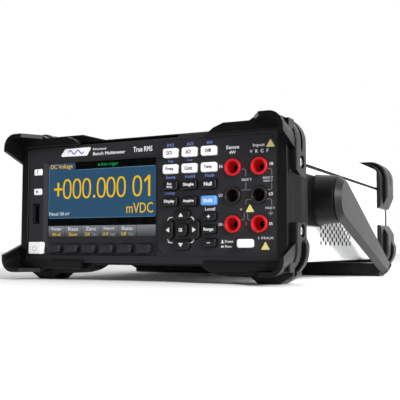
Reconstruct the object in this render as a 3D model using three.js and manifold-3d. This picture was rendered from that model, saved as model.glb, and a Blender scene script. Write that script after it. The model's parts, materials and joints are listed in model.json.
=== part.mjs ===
// Half-rack bench multimeter: painted case, rubber bumpers, swivel bail handle,
// display, thirty keys, front and rear terminals, power inlet and boards.
// Millimetres. X runs across the front, Y runs back into the case, Z is up.

import * as THREE from 'three';
import { mergeVertices } from 'three/addons/utils/BufferGeometryUtils.js';
import Module from 'manifold-3d';

const wasm = await Module();
wasm.setup();

// ---------- driving dimensions ----------

const GAP = 0.3;
const WELD = 1e-4;
const PANEL_FACE_Y = -143;
const PANEL_MIDDLE_Z = 58.2;

const CASE_WIDTH = 213;
const CASE_HEIGHT = 88;
const CASE_FRONT = 13.6;
const CASE_BACK = 298;
const CASE_CORNER = 3.5;
const SHEET = 1.2;
const SEAM_Z = 24.4;
const SEAM_GAP = 1.4;

const BEZEL_HALF_WIDTH = 104;
const BEZEL_TOP = 45.2;
const BEZEL_TOP_LEFT = 43.2;
const BEZEL_STEP_LEFT = 28;
const BEZEL_STEP_RIGHT = 30;
const BEZEL_THICKNESS = 3;
const BEZEL_DEPTH = 13;
const BEZEL_WALL = 2;

const RECESS = { left: -89.2, right: 12.6, bottom: -39.8, top: 32, depth: 2 };
const SCREEN = { left: -86.2, right: 10.3, bottom: -26.4, top: 30.6 };
const WINDOW_THICKNESS = 1.2;
const MODULE_THICKNESS = 4.2;

const KEY_PROUD = 3;
const KEY_TAIL = 5.5;
const KEY_CORNER = 1.6;
const KEY_EDGE = 0.5;
const KEY_CLEARANCE = 0.35;
const PAD_COLUMNS = [24, 38.95, 53.9];
const PAD_ROWS = [32, 20.7, 9.2, -2.1];
const PAD_KEY = { width: 11.5, height: 6.6 };
const RANGE_KEY = { x: 54.4, width: 10.1, height: 5.7, rows: [-13, -21.8, -30.7] };
const NAV = { x: 33.1, z: -21.8, reach: 10.3, long: 12.8, short: 6.6, ok: 8.6 };
const SOFTKEY = { first: -77.8, pitch: 15.87, count: 6, z: -34.6, width: 11.3, height: 6.2, proud: 2.2 };
const SIDE_KEY = { x: -94.3, rows: [24.3, 9], width: 7.4, height: 4.9 };
const POWER_KEY = { x: -94.2, z: -34.3, width: 12.2, height: 9.2, proud: 3.6 };
const SELECTOR_KEY = { x: 81, z: -31.2, width: 10.6, height: 5.8, proud: 4.6, tail: 24 };
const USB = { x: -96, z: -7.9, width: 6.4, height: 14, wall: 0.6, depth: 14, plug: 2.2 };

const JACK = { outer: 5.9, bore: 4.2, contact: 2.1, proud: 2, floor: 5, tail: 15 };
const JACK_COLUMNS = { sense: 71.2, input: 90.25 };
const JACK_ROWS = { top: 19.75, middle: 0.7, bottom: -18.35 };

const BAND = {
  half_width: 114.5,
  front: 5,
  back: 25,
  top: 54.8,
  bottom: -53.4,
  corner: 18,
  shoulder: 52,
  left_notch: { foot: -36, head: -57 },
  right_notch: { foot: 50, head: 61 },
};
const HOOD = { half_width: 113.5, half_height: 52.5, corner: 10, wall: 3, front: -18 };
const STRIP = { front: -4, inner: 54, low: 43, high: 49.8 };
const FOOT = { bottom: -58.2, inner: 85, outer: 100, slope: 8, front: 10, back: 28 };
const LOBE = {
  half_width: 116.5, inner: 82, bottom: -55.2, top: -33, root: -27, front: 18, rear_front: 288,
};
const GUARD = { inner: 106, lip: 110.5, tip: 117.5, tip_y: 15.5, back: 24.8, top: 12, low: -17.5 };
const SCREW = { y: 16, z: 22.8, head: 3.5, recess: 4.5, seat: 111.5, head_height: 2.2 };

const REAR = { front: 263, step: 275, rim: 300, back: 304, half_width: 114.5, half_height: 53 };
const REAR_GAP = { low: -11, high: 6, low_shoulder: -20, high_shoulder: 18, end_x: 109 };

const PIVOT = { y: 70, z: 1.3 };
const HUB = {
  base: 18.5, tip: 17, base_x: 109, outer_x: 124.2, pad_front: 25.8, pad_top: 18, pad_low: -18.5,
};
const ARM = { inner_x: 124.6, outer_x: 129.2, radius: 16.8, chamfer: 4 };
const ARM_TIP = { y: 220.5, z: -46.8 };
const ARM_HEEL = { y: 203.5, z: -57.9 };
const GRIP = { front: 193, back: 215, top: -46.6, bottom: -57.9, toe: 190.5 };

const HOLE_SIDES = 6;
const VENT = { radius: 2, first_y: 81, pitch_y: 11.6, pitch_z: 5.9, bottom_z: -30.2, columns: 8, rows: 4 };

const REAR_PANEL = { front: 293, back: 295, corner: 2 };
const INLET = {
  x: 70, z: -14, half_width: 24, half_height: 13.8, face: 298,
  shell_half: 13.5, shell_tall: 10, shell_front: 272,
  mouth_half: 12.3, mouth_tall: 8.5, depth: 18,
};
const INLET_PINS = {
  offsets: [[-7, -2], [0, 2], [7, -2]], half_width: 1, half_height: 2, front: 278, back: 291.5,
};
const REAR_JACKS = {
  x: [-90, -70.95], z: [17, -2.05, -21.1], left: -99, right: -61, low: -30.5, high: 26.5,
  front: 278, face: 297.5, shroud: 6, shroud_back: 301.5, bore: 4.1, bore_front: 288,
};
const PORTS = { left: -40, right: 34, low: -30, high: -8, front: 279, face: 297, socket_front: 283 };
const NETWORK_PORT = { left: -37, right: -21, low: -26, high: -13 };
const USB_PORT = { left: -13, right: -1, low: -25, high: -13.5 };
const COAXIAL = { x: [10, 25], z: -19, radius: 4.8, bore: 3.2, bore_front: 292, back: 303 };

const FRONT_BOARD = {
  left: -99, right: 64, front: 10.4, back: 12, half_height: 40, usb_room: 5, usb_tall: 9,
};
const MAIN_BOARD = { half_width: 98, front: 30, back: 274, low: -35, high: -33.4 };
const TRANSFORMER = { left: 30, right: 84, front: 200, back: 262, low: -32.8, high: 20 };
const CORE_WINDOWS = { columns: [[38, 50], [64, 76]], low: -22, high: 10 };
const WINDING = { left: 42, right: 72, front: 196, back: 266, low: -20, high: 8 };

// ---------- helpers ----------

const LOOK_BACK = new THREE.Matrix4().makeBasis(
  new THREE.Vector3(1, 0, 0),
  new THREE.Vector3(0, 0, 1),
  new THREE.Vector3(0, -1, 0),
);
const LOOK_ACROSS = new THREE.Matrix4().makeBasis(
  new THREE.Vector3(0, 1, 0),
  new THREE.Vector3(0, 0, 1),
  new THREE.Vector3(1, 0, 0),
);

function solidOf(geometry) {
  const bare = geometry.clone();
  bare.deleteAttribute('normal');
  bare.deleteAttribute('uv');
  const welded = mergeVertices(bare, WELD);
  return new wasm.Manifold(new wasm.Mesh({
    numProp: 3,
    vertProperties: Float32Array.from(welded.attributes.position.array),
    triVerts: Uint32Array.from(welded.index.array),
  }));
}

function geometryOf(solid) {
  const mesh = solid.getMesh();
  const geometry = new THREE.BufferGeometry();
  geometry.setAttribute('position', new THREE.BufferAttribute(mesh.vertProperties, 3));
  geometry.setIndex(new THREE.BufferAttribute(mesh.triVerts, 1));
  geometry.computeVertexNormals();
  return geometry;
}

function polygon(points) {
  return new THREE.Shape(points.map(([x, y]) => new THREE.Vector2(x, y)));
}

function rectangle(left, right, low, high, corner = 0) {
  const shape = new THREE.Shape();
  if (corner === 0) return polygon([[left, low], [right, low], [right, high], [left, high]]);
  shape.absarc(right - corner, low + corner, corner, -Math.PI / 2, 0);
  shape.absarc(right - corner, high - corner, corner, 0, Math.PI / 2);
  shape.absarc(left + corner, high - corner, corner, Math.PI / 2, Math.PI);
  shape.absarc(left + corner, low + corner, corner, Math.PI, 1.5 * Math.PI);
  shape.closePath();
  return shape;
}

// A shape drawn in X and Z, extruded from y = front to y = back.
function backward(shape, front, back, curveSegments = 2) {
  const options = { depth: back - front, bevelEnabled: false, curveSegments };
  const geometry = new THREE.ExtrudeGeometry(shape, options);
  return geometry.applyMatrix4(LOOK_BACK).translate(0, back, 0);
}

// A shape drawn in Y and Z, extruded from x = left to x = right.
function across(shape, left, right, curveSegments = 3) {
  const options = { depth: right - left, bevelEnabled: false, curveSegments };
  const geometry = new THREE.ExtrudeGeometry(shape, options);
  return geometry.applyMatrix4(LOOK_ACROSS).translate(left, 0, 0);
}

// A shape drawn in X and Y, extruded from z = low to z = high.
function upward(shape, low, high, curveSegments = 3) {
  const options = { depth: high - low, bevelEnabled: false, curveSegments };
  return new THREE.ExtrudeGeometry(shape, options).translate(0, 0, low);
}

function box(left, right, front, back, low, high) {
  return backward(rectangle(left, right, low, high), front, back);
}

function discBackward(x, z, radius, front, back, sides) {
  const geometry = new THREE.CylinderGeometry(radius, radius, back - front, sides);
  return geometry.translate(x, (front + back) / 2, z);
}

function discAcross(y, z, radius, left, right, sides) {
  const geometry = new THREE.CylinderGeometry(radius, radius, right - left, sides);
  return geometry.rotateZ(-Math.PI / 2).translate((left + right) / 2, y, z);
}

function join(geometries) {
  return geometries.map(solidOf).reduce((total, piece) => total.add(piece));
}

function cut(solid, geometries) {
  return geometries.map(solidOf).reduce((rest, piece) => rest.subtract(piece), solid);
}

function mirrored(geometry) {
  const copy = geometry.index ? geometry.clone() : mergeVertices(geometry, WELD);
  copy.scale(-1, 1, 1);
  for (let i = 0; i < copy.index.count; i += 3) {
    const first = copy.index.getX(i);
    copy.index.setX(i, copy.index.getX(i + 2));
    copy.index.setX(i + 2, first);
  }
  return copy;
}

function bothSides(geometries) {
  return geometries.flatMap((geometry) => [geometry, mirrored(geometry)]);
}

const PAINTS = {
  case_paint: { color: 0xf0f1f2, roughness: 0.45, metalness: 0.1 },
  bezel: { color: 0x33333a, roughness: 0.55, metalness: 0 },
  rubber: { color: 0x1b1b1c, roughness: 0.7, metalness: 0 },
  handle: { color: 0x262627, roughness: 0.5, metalness: 0 },
  white_key: { color: 0xf4f4f2, roughness: 0.45, metalness: 0 },
  black_key: { color: 0x1c1c1e, roughness: 0.5, metalness: 0 },
  blue_key: { color: 0x7ab4ee, roughness: 0.45, metalness: 0 },
  soft_key: { color: 0x29292c, roughness: 0.5, metalness: 0 },
  red_jack: { color: 0xc8202a, roughness: 0.4, metalness: 0 },
  black_jack: { color: 0x161616, roughness: 0.4, metalness: 0 },
  lens: { color: 0x1a2028, roughness: 0.1, metalness: 0 },
  lcd: { color: 0x30526b, roughness: 0.3, metalness: 0 },
  steel: { color: 0xb8babc, roughness: 0.35, metalness: 0.9 },
  board: { color: 0x1c5a34, roughness: 0.6, metalness: 0 },
  core: { color: 0x6c5a40, roughness: 0.6, metalness: 0.2 },
  inlet: { color: 0x101010, roughness: 0.5, metalness: 0 },
};

const instrument = new THREE.Group();
instrument.position.set(0, PANEL_FACE_Y, PANEL_MIDDLE_Z);

function add(name, paint, shape) {
  const geometry = shape instanceof THREE.BufferGeometry ? shape : geometryOf(shape);
  const mesh = new THREE.Mesh(geometry, new THREE.MeshStandardMaterial(PAINTS[paint]));
  mesh.name = name;
  instrument.add(mesh);
  return mesh;
}

// ---------- case ----------

function caseSleeve() {
  const half = CASE_WIDTH / 2;
  const tall = CASE_HEIGHT / 2;
  const outside = backward(rectangle(-half, half, -tall, tall, CASE_CORNER), CASE_FRONT, CASE_BACK);
  const inner = CASE_CORNER - SHEET;
  const hollow = rectangle(-half + SHEET, half - SHEET, -tall + SHEET, tall - SHEET, inner);
  return cut(solidOf(outside), [backward(hollow, CASE_FRONT - 1, CASE_BACK + 1)]);
}

function addCovers() {
  const half = CASE_WIDTH / 2 + 1;
  const tall = CASE_HEIGHT / 2 + 1;
  const front = CASE_FRONT - 1;
  const back = CASE_BACK + 1;
  const above = box(-half, half, front, back, SEAM_Z, tall);
  const below = box(-half, half, front, back, -tall, SEAM_Z + SEAM_GAP / 2);
  const belowCut = box(-half, half, front, back, SEAM_Z - SEAM_GAP / 2, tall);
  add('top_cover', 'case_paint', cut(caseSleeve(), [below]));
  add('bottom_case', 'case_paint', cut(caseSleeve(), [belowCut, above, ...ventHoles()]));
}

function ventHoles() {
  const holes = [];
  for (let column = 0; column < VENT.columns; column += 1) {
    for (let row = 0; row < VENT.rows; row += 1) {
      const z = VENT.bottom_z + row * VENT.pitch_z;
      holes.push([VENT.first_y + column * VENT.pitch_y, z]);
      if (row + 1 === VENT.rows || column + 1 === VENT.columns) continue;
      holes.push([VENT.first_y + (column + 0.5) * VENT.pitch_y, z + VENT.pitch_z / 2]);
    }
  }
  const reach = CASE_WIDTH / 2 + 2;
  return holes.map(([y, z]) => discAcross(y, z, VENT.radius, -reach, reach, HOLE_SIDES));
}

function addRearPanel() {
  const half = CASE_WIDTH / 2 - SHEET - GAP;
  const tall = CASE_HEIGHT / 2 - SHEET - GAP;
  const { front, back, corner } = REAR_PANEL;
  const sheet = backward(rectangle(-half, half, -tall, tall, corner), front, back);
  const { x, z, shell_half: halfShell, shell_tall: tallShell } = INLET;
  const inletHalf = halfShell + GAP;
  const inletTall = tallShell + GAP;
  const holes = [REAR_JACKS, PORTS].map(({ left, right, low, high }) => {
    return box(left - GAP, right + GAP, front - 1, back + 1, low - GAP, high + GAP);
  });
  const inletHole = box(x - inletHalf, x + inletHalf, front - 1, back + 1, z - inletTall, z + inletTall);
  add('rear_panel', 'steel', cut(solidOf(sheet), [...holes, inletHole]));
}

function addPowerInlet() {
  const { x, z, half_width: halfWidth, half_height: halfHeight, face, shell_front: front } = INLET;
  const { shell_half: halfShell, shell_tall: tallShell } = INLET;
  const { mouth_half: halfMouth, mouth_tall: tallMouth } = INLET;
  const seat = REAR_PANEL.back + GAP;
  const flange = box(x - halfWidth, x + halfWidth, seat, face, z - halfHeight, z + halfHeight);
  const shell = box(x - halfShell, x + halfShell, front, face - 1, z - tallShell, z + tallShell);
  const mouth = box(x - halfMouth, x + halfMouth, face - INLET.depth, face + 1, z - tallMouth, z + tallMouth);
  const pins = INLET_PINS.offsets.map(([dx, dz]) => {
    const { half_width: pinHalf, half_height: pinTall, front: root, back: tip } = INLET_PINS;
    return solidOf(box(x + dx - pinHalf, x + dx + pinHalf, root, tip, z + dz - pinTall, z + dz + pinTall));
  });
  const body = cut(join([flange, shell]), [mouth]);
  add('power_inlet', 'inlet', pins.reduce((rest, pin) => rest.add(pin), body));
}

function addRearTerminals() {
  const { left, right, low, high, front, face } = REAR_JACKS;
  const { shroud, shroud_back: end, bore, bore_front: root } = REAR_JACKS;
  const places = REAR_JACKS.x.flatMap((x) => REAR_JACKS.z.map((z) => [x, z]));
  const block = box(left, right, front, face, low, high);
  const shrouds = places.map(([x, z]) => discBackward(x, z, shroud, face - 1, end, 12));
  const bores = places.map(([x, z]) => discBackward(x, z, bore, root, end + 1, 12));
  add('rear_terminal_block', 'black_jack', cut(join([block, ...shrouds]), bores));
}

function addRearPorts() {
  const { left, right, low, high, front, face, socket_front: root } = PORTS;
  const block = box(left, right, front, face, low, high);
  const sockets = [NETWORK_PORT, USB_PORT].map((port) => {
    return box(port.left, port.right, root, face + 1, port.low, port.high);
  });
  const { x: columns, z, radius, bore, bore_front: floor, back } = COAXIAL;
  const barrels = columns.map((x) => discBackward(x, z, radius, face - 1, back, 14));
  const bores = columns.map((x) => discBackward(x, z, bore, floor, back + 1, 12));
  add('rear_port_block', 'steel', cut(join([block, ...barrels]), [...sockets, ...bores]));
}

// ---------- front bezel, display and sockets ----------

function bezelOutline() {
  const side = BEZEL_HALF_WIDTH;
  return polygon([
    [-side, -BEZEL_TOP],
    [side, -BEZEL_TOP],
    [side, BEZEL_TOP],
    [BEZEL_STEP_RIGHT, BEZEL_TOP],
    [BEZEL_STEP_LEFT, BEZEL_TOP_LEFT],
    [-side, BEZEL_TOP_LEFT],
  ]);
}

function keyHole({ x, z, width, height, corner = KEY_CORNER }) {
  const halfWidth = width / 2 + KEY_CLEARANCE;
  const halfHeight = height / 2 + KEY_CLEARANCE;
  const outline = rectangle(x - halfWidth, x + halfWidth, z - halfHeight, z + halfHeight, corner);
  return backward(outline, -1, BEZEL_DEPTH, 1);
}

function jackPlaces() {
  const places = [];
  for (const [column, x] of Object.entries(JACK_COLUMNS)) {
    for (const [row, z] of Object.entries(JACK_ROWS)) {
      places.push({ name: `jack_${column}_${row}`, x, z, red: row !== 'middle' });
    }
  }
  return places;
}

function addBezel(keys) {
  const plate = solidOf(backward(bezelOutline(), 0, BEZEL_DEPTH));
  const side = BEZEL_HALF_WIDTH - BEZEL_WALL;
  const roof = BEZEL_TOP_LEFT - BEZEL_WALL;
  const hollow = box(-side, side, BEZEL_THICKNESS + RECESS.depth, BEZEL_DEPTH + 1, -roof, roof);
  const right = box(RECESS.right + 3, side, BEZEL_THICKNESS, BEZEL_DEPTH + 1, -roof, roof);
  const left = box(-side, RECESS.left - 3, BEZEL_THICKNESS, BEZEL_DEPTH + 1, -roof, roof);
  const dish = box(RECESS.left, RECESS.right, -1, RECESS.depth, RECESS.bottom, RECESS.top);
  const pane = box(SCREEN.left, SCREEN.right, -1, BEZEL_DEPTH, SCREEN.bottom, SCREEN.top);
  const jacks = jackPlaces().map(({ x, z }) => discBackward(x, z, JACK.outer + GAP, -1, BEZEL_DEPTH, 14));
  const halfUsb = USB.width / 2 + GAP;
  const tallUsb = USB.height / 2 + GAP;
  const usb = box(USB.x - halfUsb, USB.x + halfUsb, -1, BEZEL_DEPTH, USB.z - tallUsb, USB.z + tallUsb);
  const holes = [hollow, right, left, dish, pane, usb, ...jacks, ...keys.map(keyHole)];
  add('front_bezel', 'bezel', cut(plate, holes));
}

function addDisplay() {
  const { left, right, bottom, top } = SCREEN;
  const front = RECESS.depth + BEZEL_THICKNESS + GAP;
  const flange = 0.9;
  const lens = join([
    box(left + GAP, right - GAP, RECESS.depth + 0.4, front + 0.4, bottom + GAP, top - GAP),
    box(left - flange, right + flange, front, front + WINDOW_THICKNESS, bottom - flange, top + flange),
  ]);
  add('display_window', 'lens', lens);
  const back = front + WINDOW_THICKNESS + GAP;
  const end = back + MODULE_THICKNESS - 1;
  add('display_module', 'lcd', box(left - 2, right + 2, back, end, bottom - 3, top + 3));
}

function addUsbSocket() {
  const { x, z, width, height, wall, depth, plug } = USB;
  const shell = box(x - width / 2, x + width / 2, 0.3, depth, z - height / 2, z + height / 2);
  const halfMouth = width / 2 - wall;
  const tallMouth = height / 2 - wall;
  const mouth = box(x - halfMouth, x + halfMouth, -1, depth - 2, z - tallMouth, z + tallMouth);
  const tongueLeft = x + halfMouth - plug + 0.4;
  const tongue = box(tongueLeft, x + halfMouth - 0.6, 2, depth - 1, z - tallMouth + 1, z + tallMouth - 1);
  add('usb_socket', 'steel', cut(solidOf(shell), [mouth]).add(solidOf(tongue)));
}

function addJacks() {
  const { outer, bore, contact, proud, floor, tail } = JACK;
  const profile = [
    [0, tail - 2], [contact, tail - 2], [contact, floor], [bore, floor], [bore, 0.4 - proud],
    [bore + 0.4, -proud], [outer - 0.4, -proud], [outer, 0.4 - proud], [outer, tail], [0, tail],
  ];
  const outline = profile.map(([radius, y]) => new THREE.Vector2(radius, y));
  for (const { name, x, z, red } of jackPlaces()) {
    const geometry = new THREE.LatheGeometry(outline, 14);
    const mesh = add(name, red ? 'red_jack' : 'black_jack', geometry);
    mesh.position.set(x, 0, z);
  }
}

// ---------- keys ----------

function padKeys() {
  const names = [
    ['dc_volts_key', 'ac_volts_key', 'ohms_key'],
    ['frequency_key', 'continuity_key', 'temperature_key'],
    ['run_stop_key', 'single_key', 'null_key'],
    ['display_key', 'acquire_key', 'shift_key'],
  ];
  return names.flatMap((row, r) => row.map((name, c) => {
    const paint = r < 2 ? 'white_key' : 'black_key';
    return { name, paint, x: PAD_COLUMNS[c], z: PAD_ROWS[r], ...PAD_KEY };
  }));
}

function navKeys() {
  const { x, z, reach, long, short, ok } = NAV;
  const paint = 'black_key';
  return [
    { name: 'nav_up_key', paint, x, z: z + reach, width: long, height: short, corner: 2.8 },
    { name: 'nav_down_key', paint, x, z: z - reach, width: long, height: short, corner: 2.8 },
    { name: 'nav_left_key', paint, x: x - reach, z, width: short + 0.6, height: long, corner: 2.8 },
    { name: 'nav_right_key', paint, x: x + reach, z, width: short + 0.6, height: long, corner: 2.8 },
    { name: 'nav_ok_key', paint, x, z, width: ok, height: ok, corner: 2.2 },
  ];
}

function rangeKeys() {
  const names = ['range_up_key', 'range_auto_key', 'range_down_key'];
  const { x, width, height, rows } = RANGE_KEY;
  return names.map((name, i) => ({ name, paint: 'black_key', x, z: rows[i], width, height }));
}

function softKeys() {
  const { first, pitch, count, z, width, height, proud } = SOFTKEY;
  return Array.from({ length: count }, (_, i) => {
    return { name: `softkey_${i + 1}`, paint: 'soft_key', x: first + i * pitch, z, width, height, proud };
  });
}

function sideKeys() {
  const { x, rows, width, height } = SIDE_KEY;
  const names = ['help_key', 'screenshot_key'];
  return names.map((name, i) => {
    return { name, paint: 'white_key', x, z: rows[i], width, height, proud: 1.2, corner: 1 };
  });
}

function allKeys() {
  const keys = [...padKeys(), ...navKeys(), ...rangeKeys(), ...softKeys(), ...sideKeys()];
  keys.find(({ name }) => name === 'shift_key').paint = 'blue_key';
  keys.push({ name: 'power_button', paint: 'white_key', ...POWER_KEY });
  keys.push({ name: 'input_selector', paint: 'white_key', ...SELECTOR_KEY });
  return keys;
}

function addKey(key) {
  const { name, paint, x, z, width, height } = key;
  const { proud = KEY_PROUD, tail = KEY_TAIL, corner = KEY_CORNER } = key;
  const edge = KEY_EDGE;
  const halfWidth = width / 2 - edge;
  const halfHeight = height / 2 - edge;
  const outline = rectangle(-halfWidth, halfWidth, -halfHeight, halfHeight, corner - edge);
  const geometry = new THREE.ExtrudeGeometry(outline, {
    depth: proud + tail - 2 * edge,
    bevelSize: edge,
    bevelThickness: edge,
    bevelSegments: 1,
    curveSegments: 1,
  });
  geometry.applyMatrix4(LOOK_BACK).translate(0, tail - edge, 0);
  const mesh = add(name, paint, geometry);
  mesh.position.set(x, 0, z);
}

// ---------- bumpers ----------

function bandOutline() {
  const { half_width: side, top, bottom, corner, shoulder, left_notch: left, right_notch: right } = BAND;
  const shape = new THREE.Shape();
  const roof = BEZEL_TOP + 1.5;
  shape.moveTo(left.foot, roof);
  shape.lineTo(left.head, shoulder);
  shape.lineTo(-85, shoulder);
  shape.lineTo(-92, top);
  shape.absarc(corner - side, top - corner, corner, Math.PI / 2, Math.PI);
  shape.absarc(corner - side, bottom + corner, corner, Math.PI, 1.5 * Math.PI);
  shape.lineTo(-70, bottom);
  shape.quadraticCurveTo(-52, bottom, -44, -roof);
  shape.lineTo(44, -roof);
  shape.quadraticCurveTo(52, bottom, 70, bottom);
  shape.absarc(side - corner, bottom + corner, corner, 1.5 * Math.PI, 2 * Math.PI);
  shape.absarc(side - corner, top - corner, corner, 0, Math.PI / 2);
  shape.lineTo(92, top);
  shape.lineTo(85, shoulder);
  shape.lineTo(right.head, shoulder);
  shape.lineTo(right.foot, roof);
  shape.closePath();
  return shape;
}

function hoodShell() {
  const { half_width: side, half_height: tall, corner, wall, front } = HOOD;
  const back = BAND.front + 1;
  const outside = backward(rectangle(-side, side, -tall, tall, corner), front, back, 4);
  const inside = rectangle(wall - side, side - wall, wall - tall, tall - wall, corner - wall);
  const middle = box(-side - 1, side + 1, front - 1, back + 1, -29.5, 29.5);
  const centre = box(-84, 84, front - 1, back + 1, -tall - 1, tall + 1);
  return cut(solidOf(outside), [backward(inside, front - 1, back + 1, 4), middle, centre]);
}

// The rims run back towards the panel along the top, the bottom and both sides.
function hoodTrims() {
  const { half_width: side, half_height: tall, front } = HOOD;
  const alongTop = polygon([[98, front - 1], [97, front], [88, -3.7], [60, -3.7], [60, front - 1]]);
  const tip = BAND.front + 2;
  const alongSide = polygon([
    [front - 1, 39.5], [front, 39.5], [tip, 29.5], [tip, -29.5], [front, -39.5], [front - 1, -39.5],
  ]);
  return [...bothSides([upward(alongTop, -tall - 1, tall + 1)]), across(alongSide, -side - 1, side + 1)];
}

function stripShapes() {
  const { front, inner, low, high } = STRIP;
  const back = BAND.front + 1;
  const end = HOOD.half_width - 1;
  const upper = polygon([
    [inner, low], [end, low], [end, high], [inner + 11, high], [inner + 4, high - 2.6], [inner, low + 1],
  ]);
  const lower = polygon([
    [inner - 4, -low], [inner, -high], [end, -high], [end, -low],
  ]);
  const flange = rectangle(BEZEL_HALF_WIDTH - 0.5, 110, -low - 1, low + 1);
  return bothSides([
    backward(upper, front, back),
    backward(lower, front, back),
    backward(flange, -1, back),
  ]);
}

function footShapes() {
  const { bottom, inner, outer, slope, front, back } = FOOT;
  const foot = polygon([
    [inner, bottom], [outer, bottom], [outer + slope + 2, bottom + 6], [outer + slope, -40],
    [inner - slope, -40], [inner - slope, bottom + 6],
  ]);
  return bothSides([backward(foot, front, back)]);
}

// The scooped ramp that shields each hub flares out towards the back, in a hollow cut in the band.
function scoopCurve() {
  const { lip, tip, tip_y: tipY } = GUARD;
  return [[lip, -1], [lip + 0.9, 5], [lip + 2.9, 10.5], [tip, tipY]];
}

function guardWindow(back) {
  const { top, low, tip_y: tipY } = GUARD;
  return polygon([
    [-2, top + 8.5], [tipY, top], [back, top - 1], [back, low + 0.5], [tipY, low], [-2, low - 0.9],
  ]);
}

function hubGuards() {
  const { inner, tip, back, top, low } = GUARD;
  const ramp = polygon([[inner, -1], ...scoopCurve(), [tip - 3, back], [inner, back]]);
  const solid = solidOf(upward(ramp, low - 2, top + 9));
  const geometry = geometryOf(solid.intersect(solidOf(across(guardWindow(back + 1), inner - 1, tip + 1))));
  return [geometry, mirrored(geometry)];
}

function guardHollows() {
  const { tip, tip_y: tipY, top, low } = GUARD;
  const outside = polygon([...scoopCurve(), [tip + 4, tipY], [tip + 4, -1]]);
  const solid = solidOf(upward(outside, low - 2, top + 9));
  const geometry = geometryOf(solid.intersect(solidOf(across(guardWindow(tipY + 1), GUARD.inner, tip + 6))));
  return [geometry, mirrored(geometry)];
}

// The lower corners bulge out a little behind their groove.
function cornerLobes(front, back) {
  const { half_width: side, inner, bottom, top, root } = LOBE;
  const corner = BAND.corner + side - BAND.half_width;
  const ring = solidOf(backward(rectangle(-side, side, bottom, -bottom, corner), front, back, 4));
  const reach = side + 1;
  const kept = polygon([
    [-reach, bottom - 1], [-inner, bottom - 1], [-inner, root],
    [0.1 - BAND.half_width, root], [-reach, top - 1],
  ]);
  const geometry = geometryOf(ring.intersect(solidOf(backward(kept, front - 1, back + 1))));
  return [geometry, mirrored(geometry)];
}

function bandSlots() {
  const { half_width: side, top, bottom, corner } = BAND;
  const inset = 2.2;
  const kept = rectangle(-side + inset, side - inset, bottom + inset, top - inset, corner - inset);
  const region = rectangle(64, side + 1, 30, top + 1);
  const lowRegion = rectangle(64, side + 1, bottom - 1, -30);
  const ring = [region, lowRegion].flatMap((shape) => bothSides([backward(shape, 13, 17)]));
  return ring.map((piece) => geometryOf(cut(solidOf(piece), [backward(kept, 12, 18, 4)])));
}

function screwPlaces() {
  const places = [];
  for (const [sideName, side] of [['left', -1], ['right', 1]]) {
    for (const [endName, end] of [['upper', 1], ['lower', -1]]) {
      places.push({ name: `bumper_screw_${sideName}_${endName}`, side, z: end * SCREW.z });
    }
  }
  return places;
}

function addFrontBumper() {
  const band = solidOf(backward(bandOutline(), BAND.front, BAND.back, 4));
  const hoods = cut(hoodShell(), hoodTrims());
  const lobes = cornerLobes(LOBE.front, BAND.back);
  const parts = [...stripShapes(), ...footShapes(), ...lobes].map(solidOf);
  const frame = parts.reduce((total, piece) => total.add(piece), band.add(hoods));
  const guards = hubGuards().map(solidOf);
  const body = guards.reduce((total, piece) => total.add(piece), cut(frame, guardHollows()));
  const bezelRoom = box(-104.3, 104.3, -GAP, CASE_FRONT, -BEZEL_TOP - GAP, BEZEL_TOP + GAP);
  const half = CASE_WIDTH / 2 + GAP;
  const tall = CASE_HEIGHT / 2 + GAP;
  const caseRoom = backward(rectangle(-half, half, -tall, tall, CASE_CORNER), CASE_FRONT - 1, FOOT.back + 1);
  const recesses = screwPlaces().map(({ side, z }) => {
    const ends = [side * SCREW.seat, side * 125].sort((a, b) => a - b);
    return discAcross(SCREW.y, z, SCREW.recess, ends[0], ends[1], 14);
  });
  const opening = box(-49.5, 49.5, -30, BAND.front - 0.6, -60, 60);
  add('front_bumper', 'rubber', cut(body, [bezelRoom, caseRoom, opening, ...recesses, ...bandSlots()]));
}

function addScrews() {
  const { y, head, seat, head_height: height } = SCREW;
  const profile = [
    [0, 0], [head, 0], [head, height - 1], [head - 1.4, height], [1.2, height], [1.2, 1.4], [0, 1.4],
  ];
  const outline = profile.map(([radius, along]) => new THREE.Vector2(radius, along));
  for (const { name, side, z } of screwPlaces()) {
    const mesh = add(name, 'steel', new THREE.LatheGeometry(outline, 10));
    mesh.rotation.z = -side * Math.PI / 2;
    mesh.position.set(side * (seat + GAP), y, z);
  }
}

function rearOutline() {
  const { half_width: side, half_height: tall } = REAR;
  const bottom = FOOT.bottom;
  const shape = new THREE.Shape();
  const radius = 18;
  shape.absarc(-side + radius, tall - radius, radius, Math.PI / 2, Math.PI);
  shape.absarc(-side + radius, radius - tall, radius, Math.PI, 1.35 * Math.PI);
  shape.lineTo(-100, bottom);
  shape.lineTo(-80, bottom);
  shape.lineTo(-72, -tall);
  shape.lineTo(72, -tall);
  shape.lineTo(80, bottom);
  shape.lineTo(100, bottom);
  shape.absarc(side - radius, radius - tall, radius, 1.65 * Math.PI, 2 * Math.PI);
  shape.absarc(side - radius, tall - radius, radius, 0, Math.PI / 2);
  shape.closePath();
  return shape;
}

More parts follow.
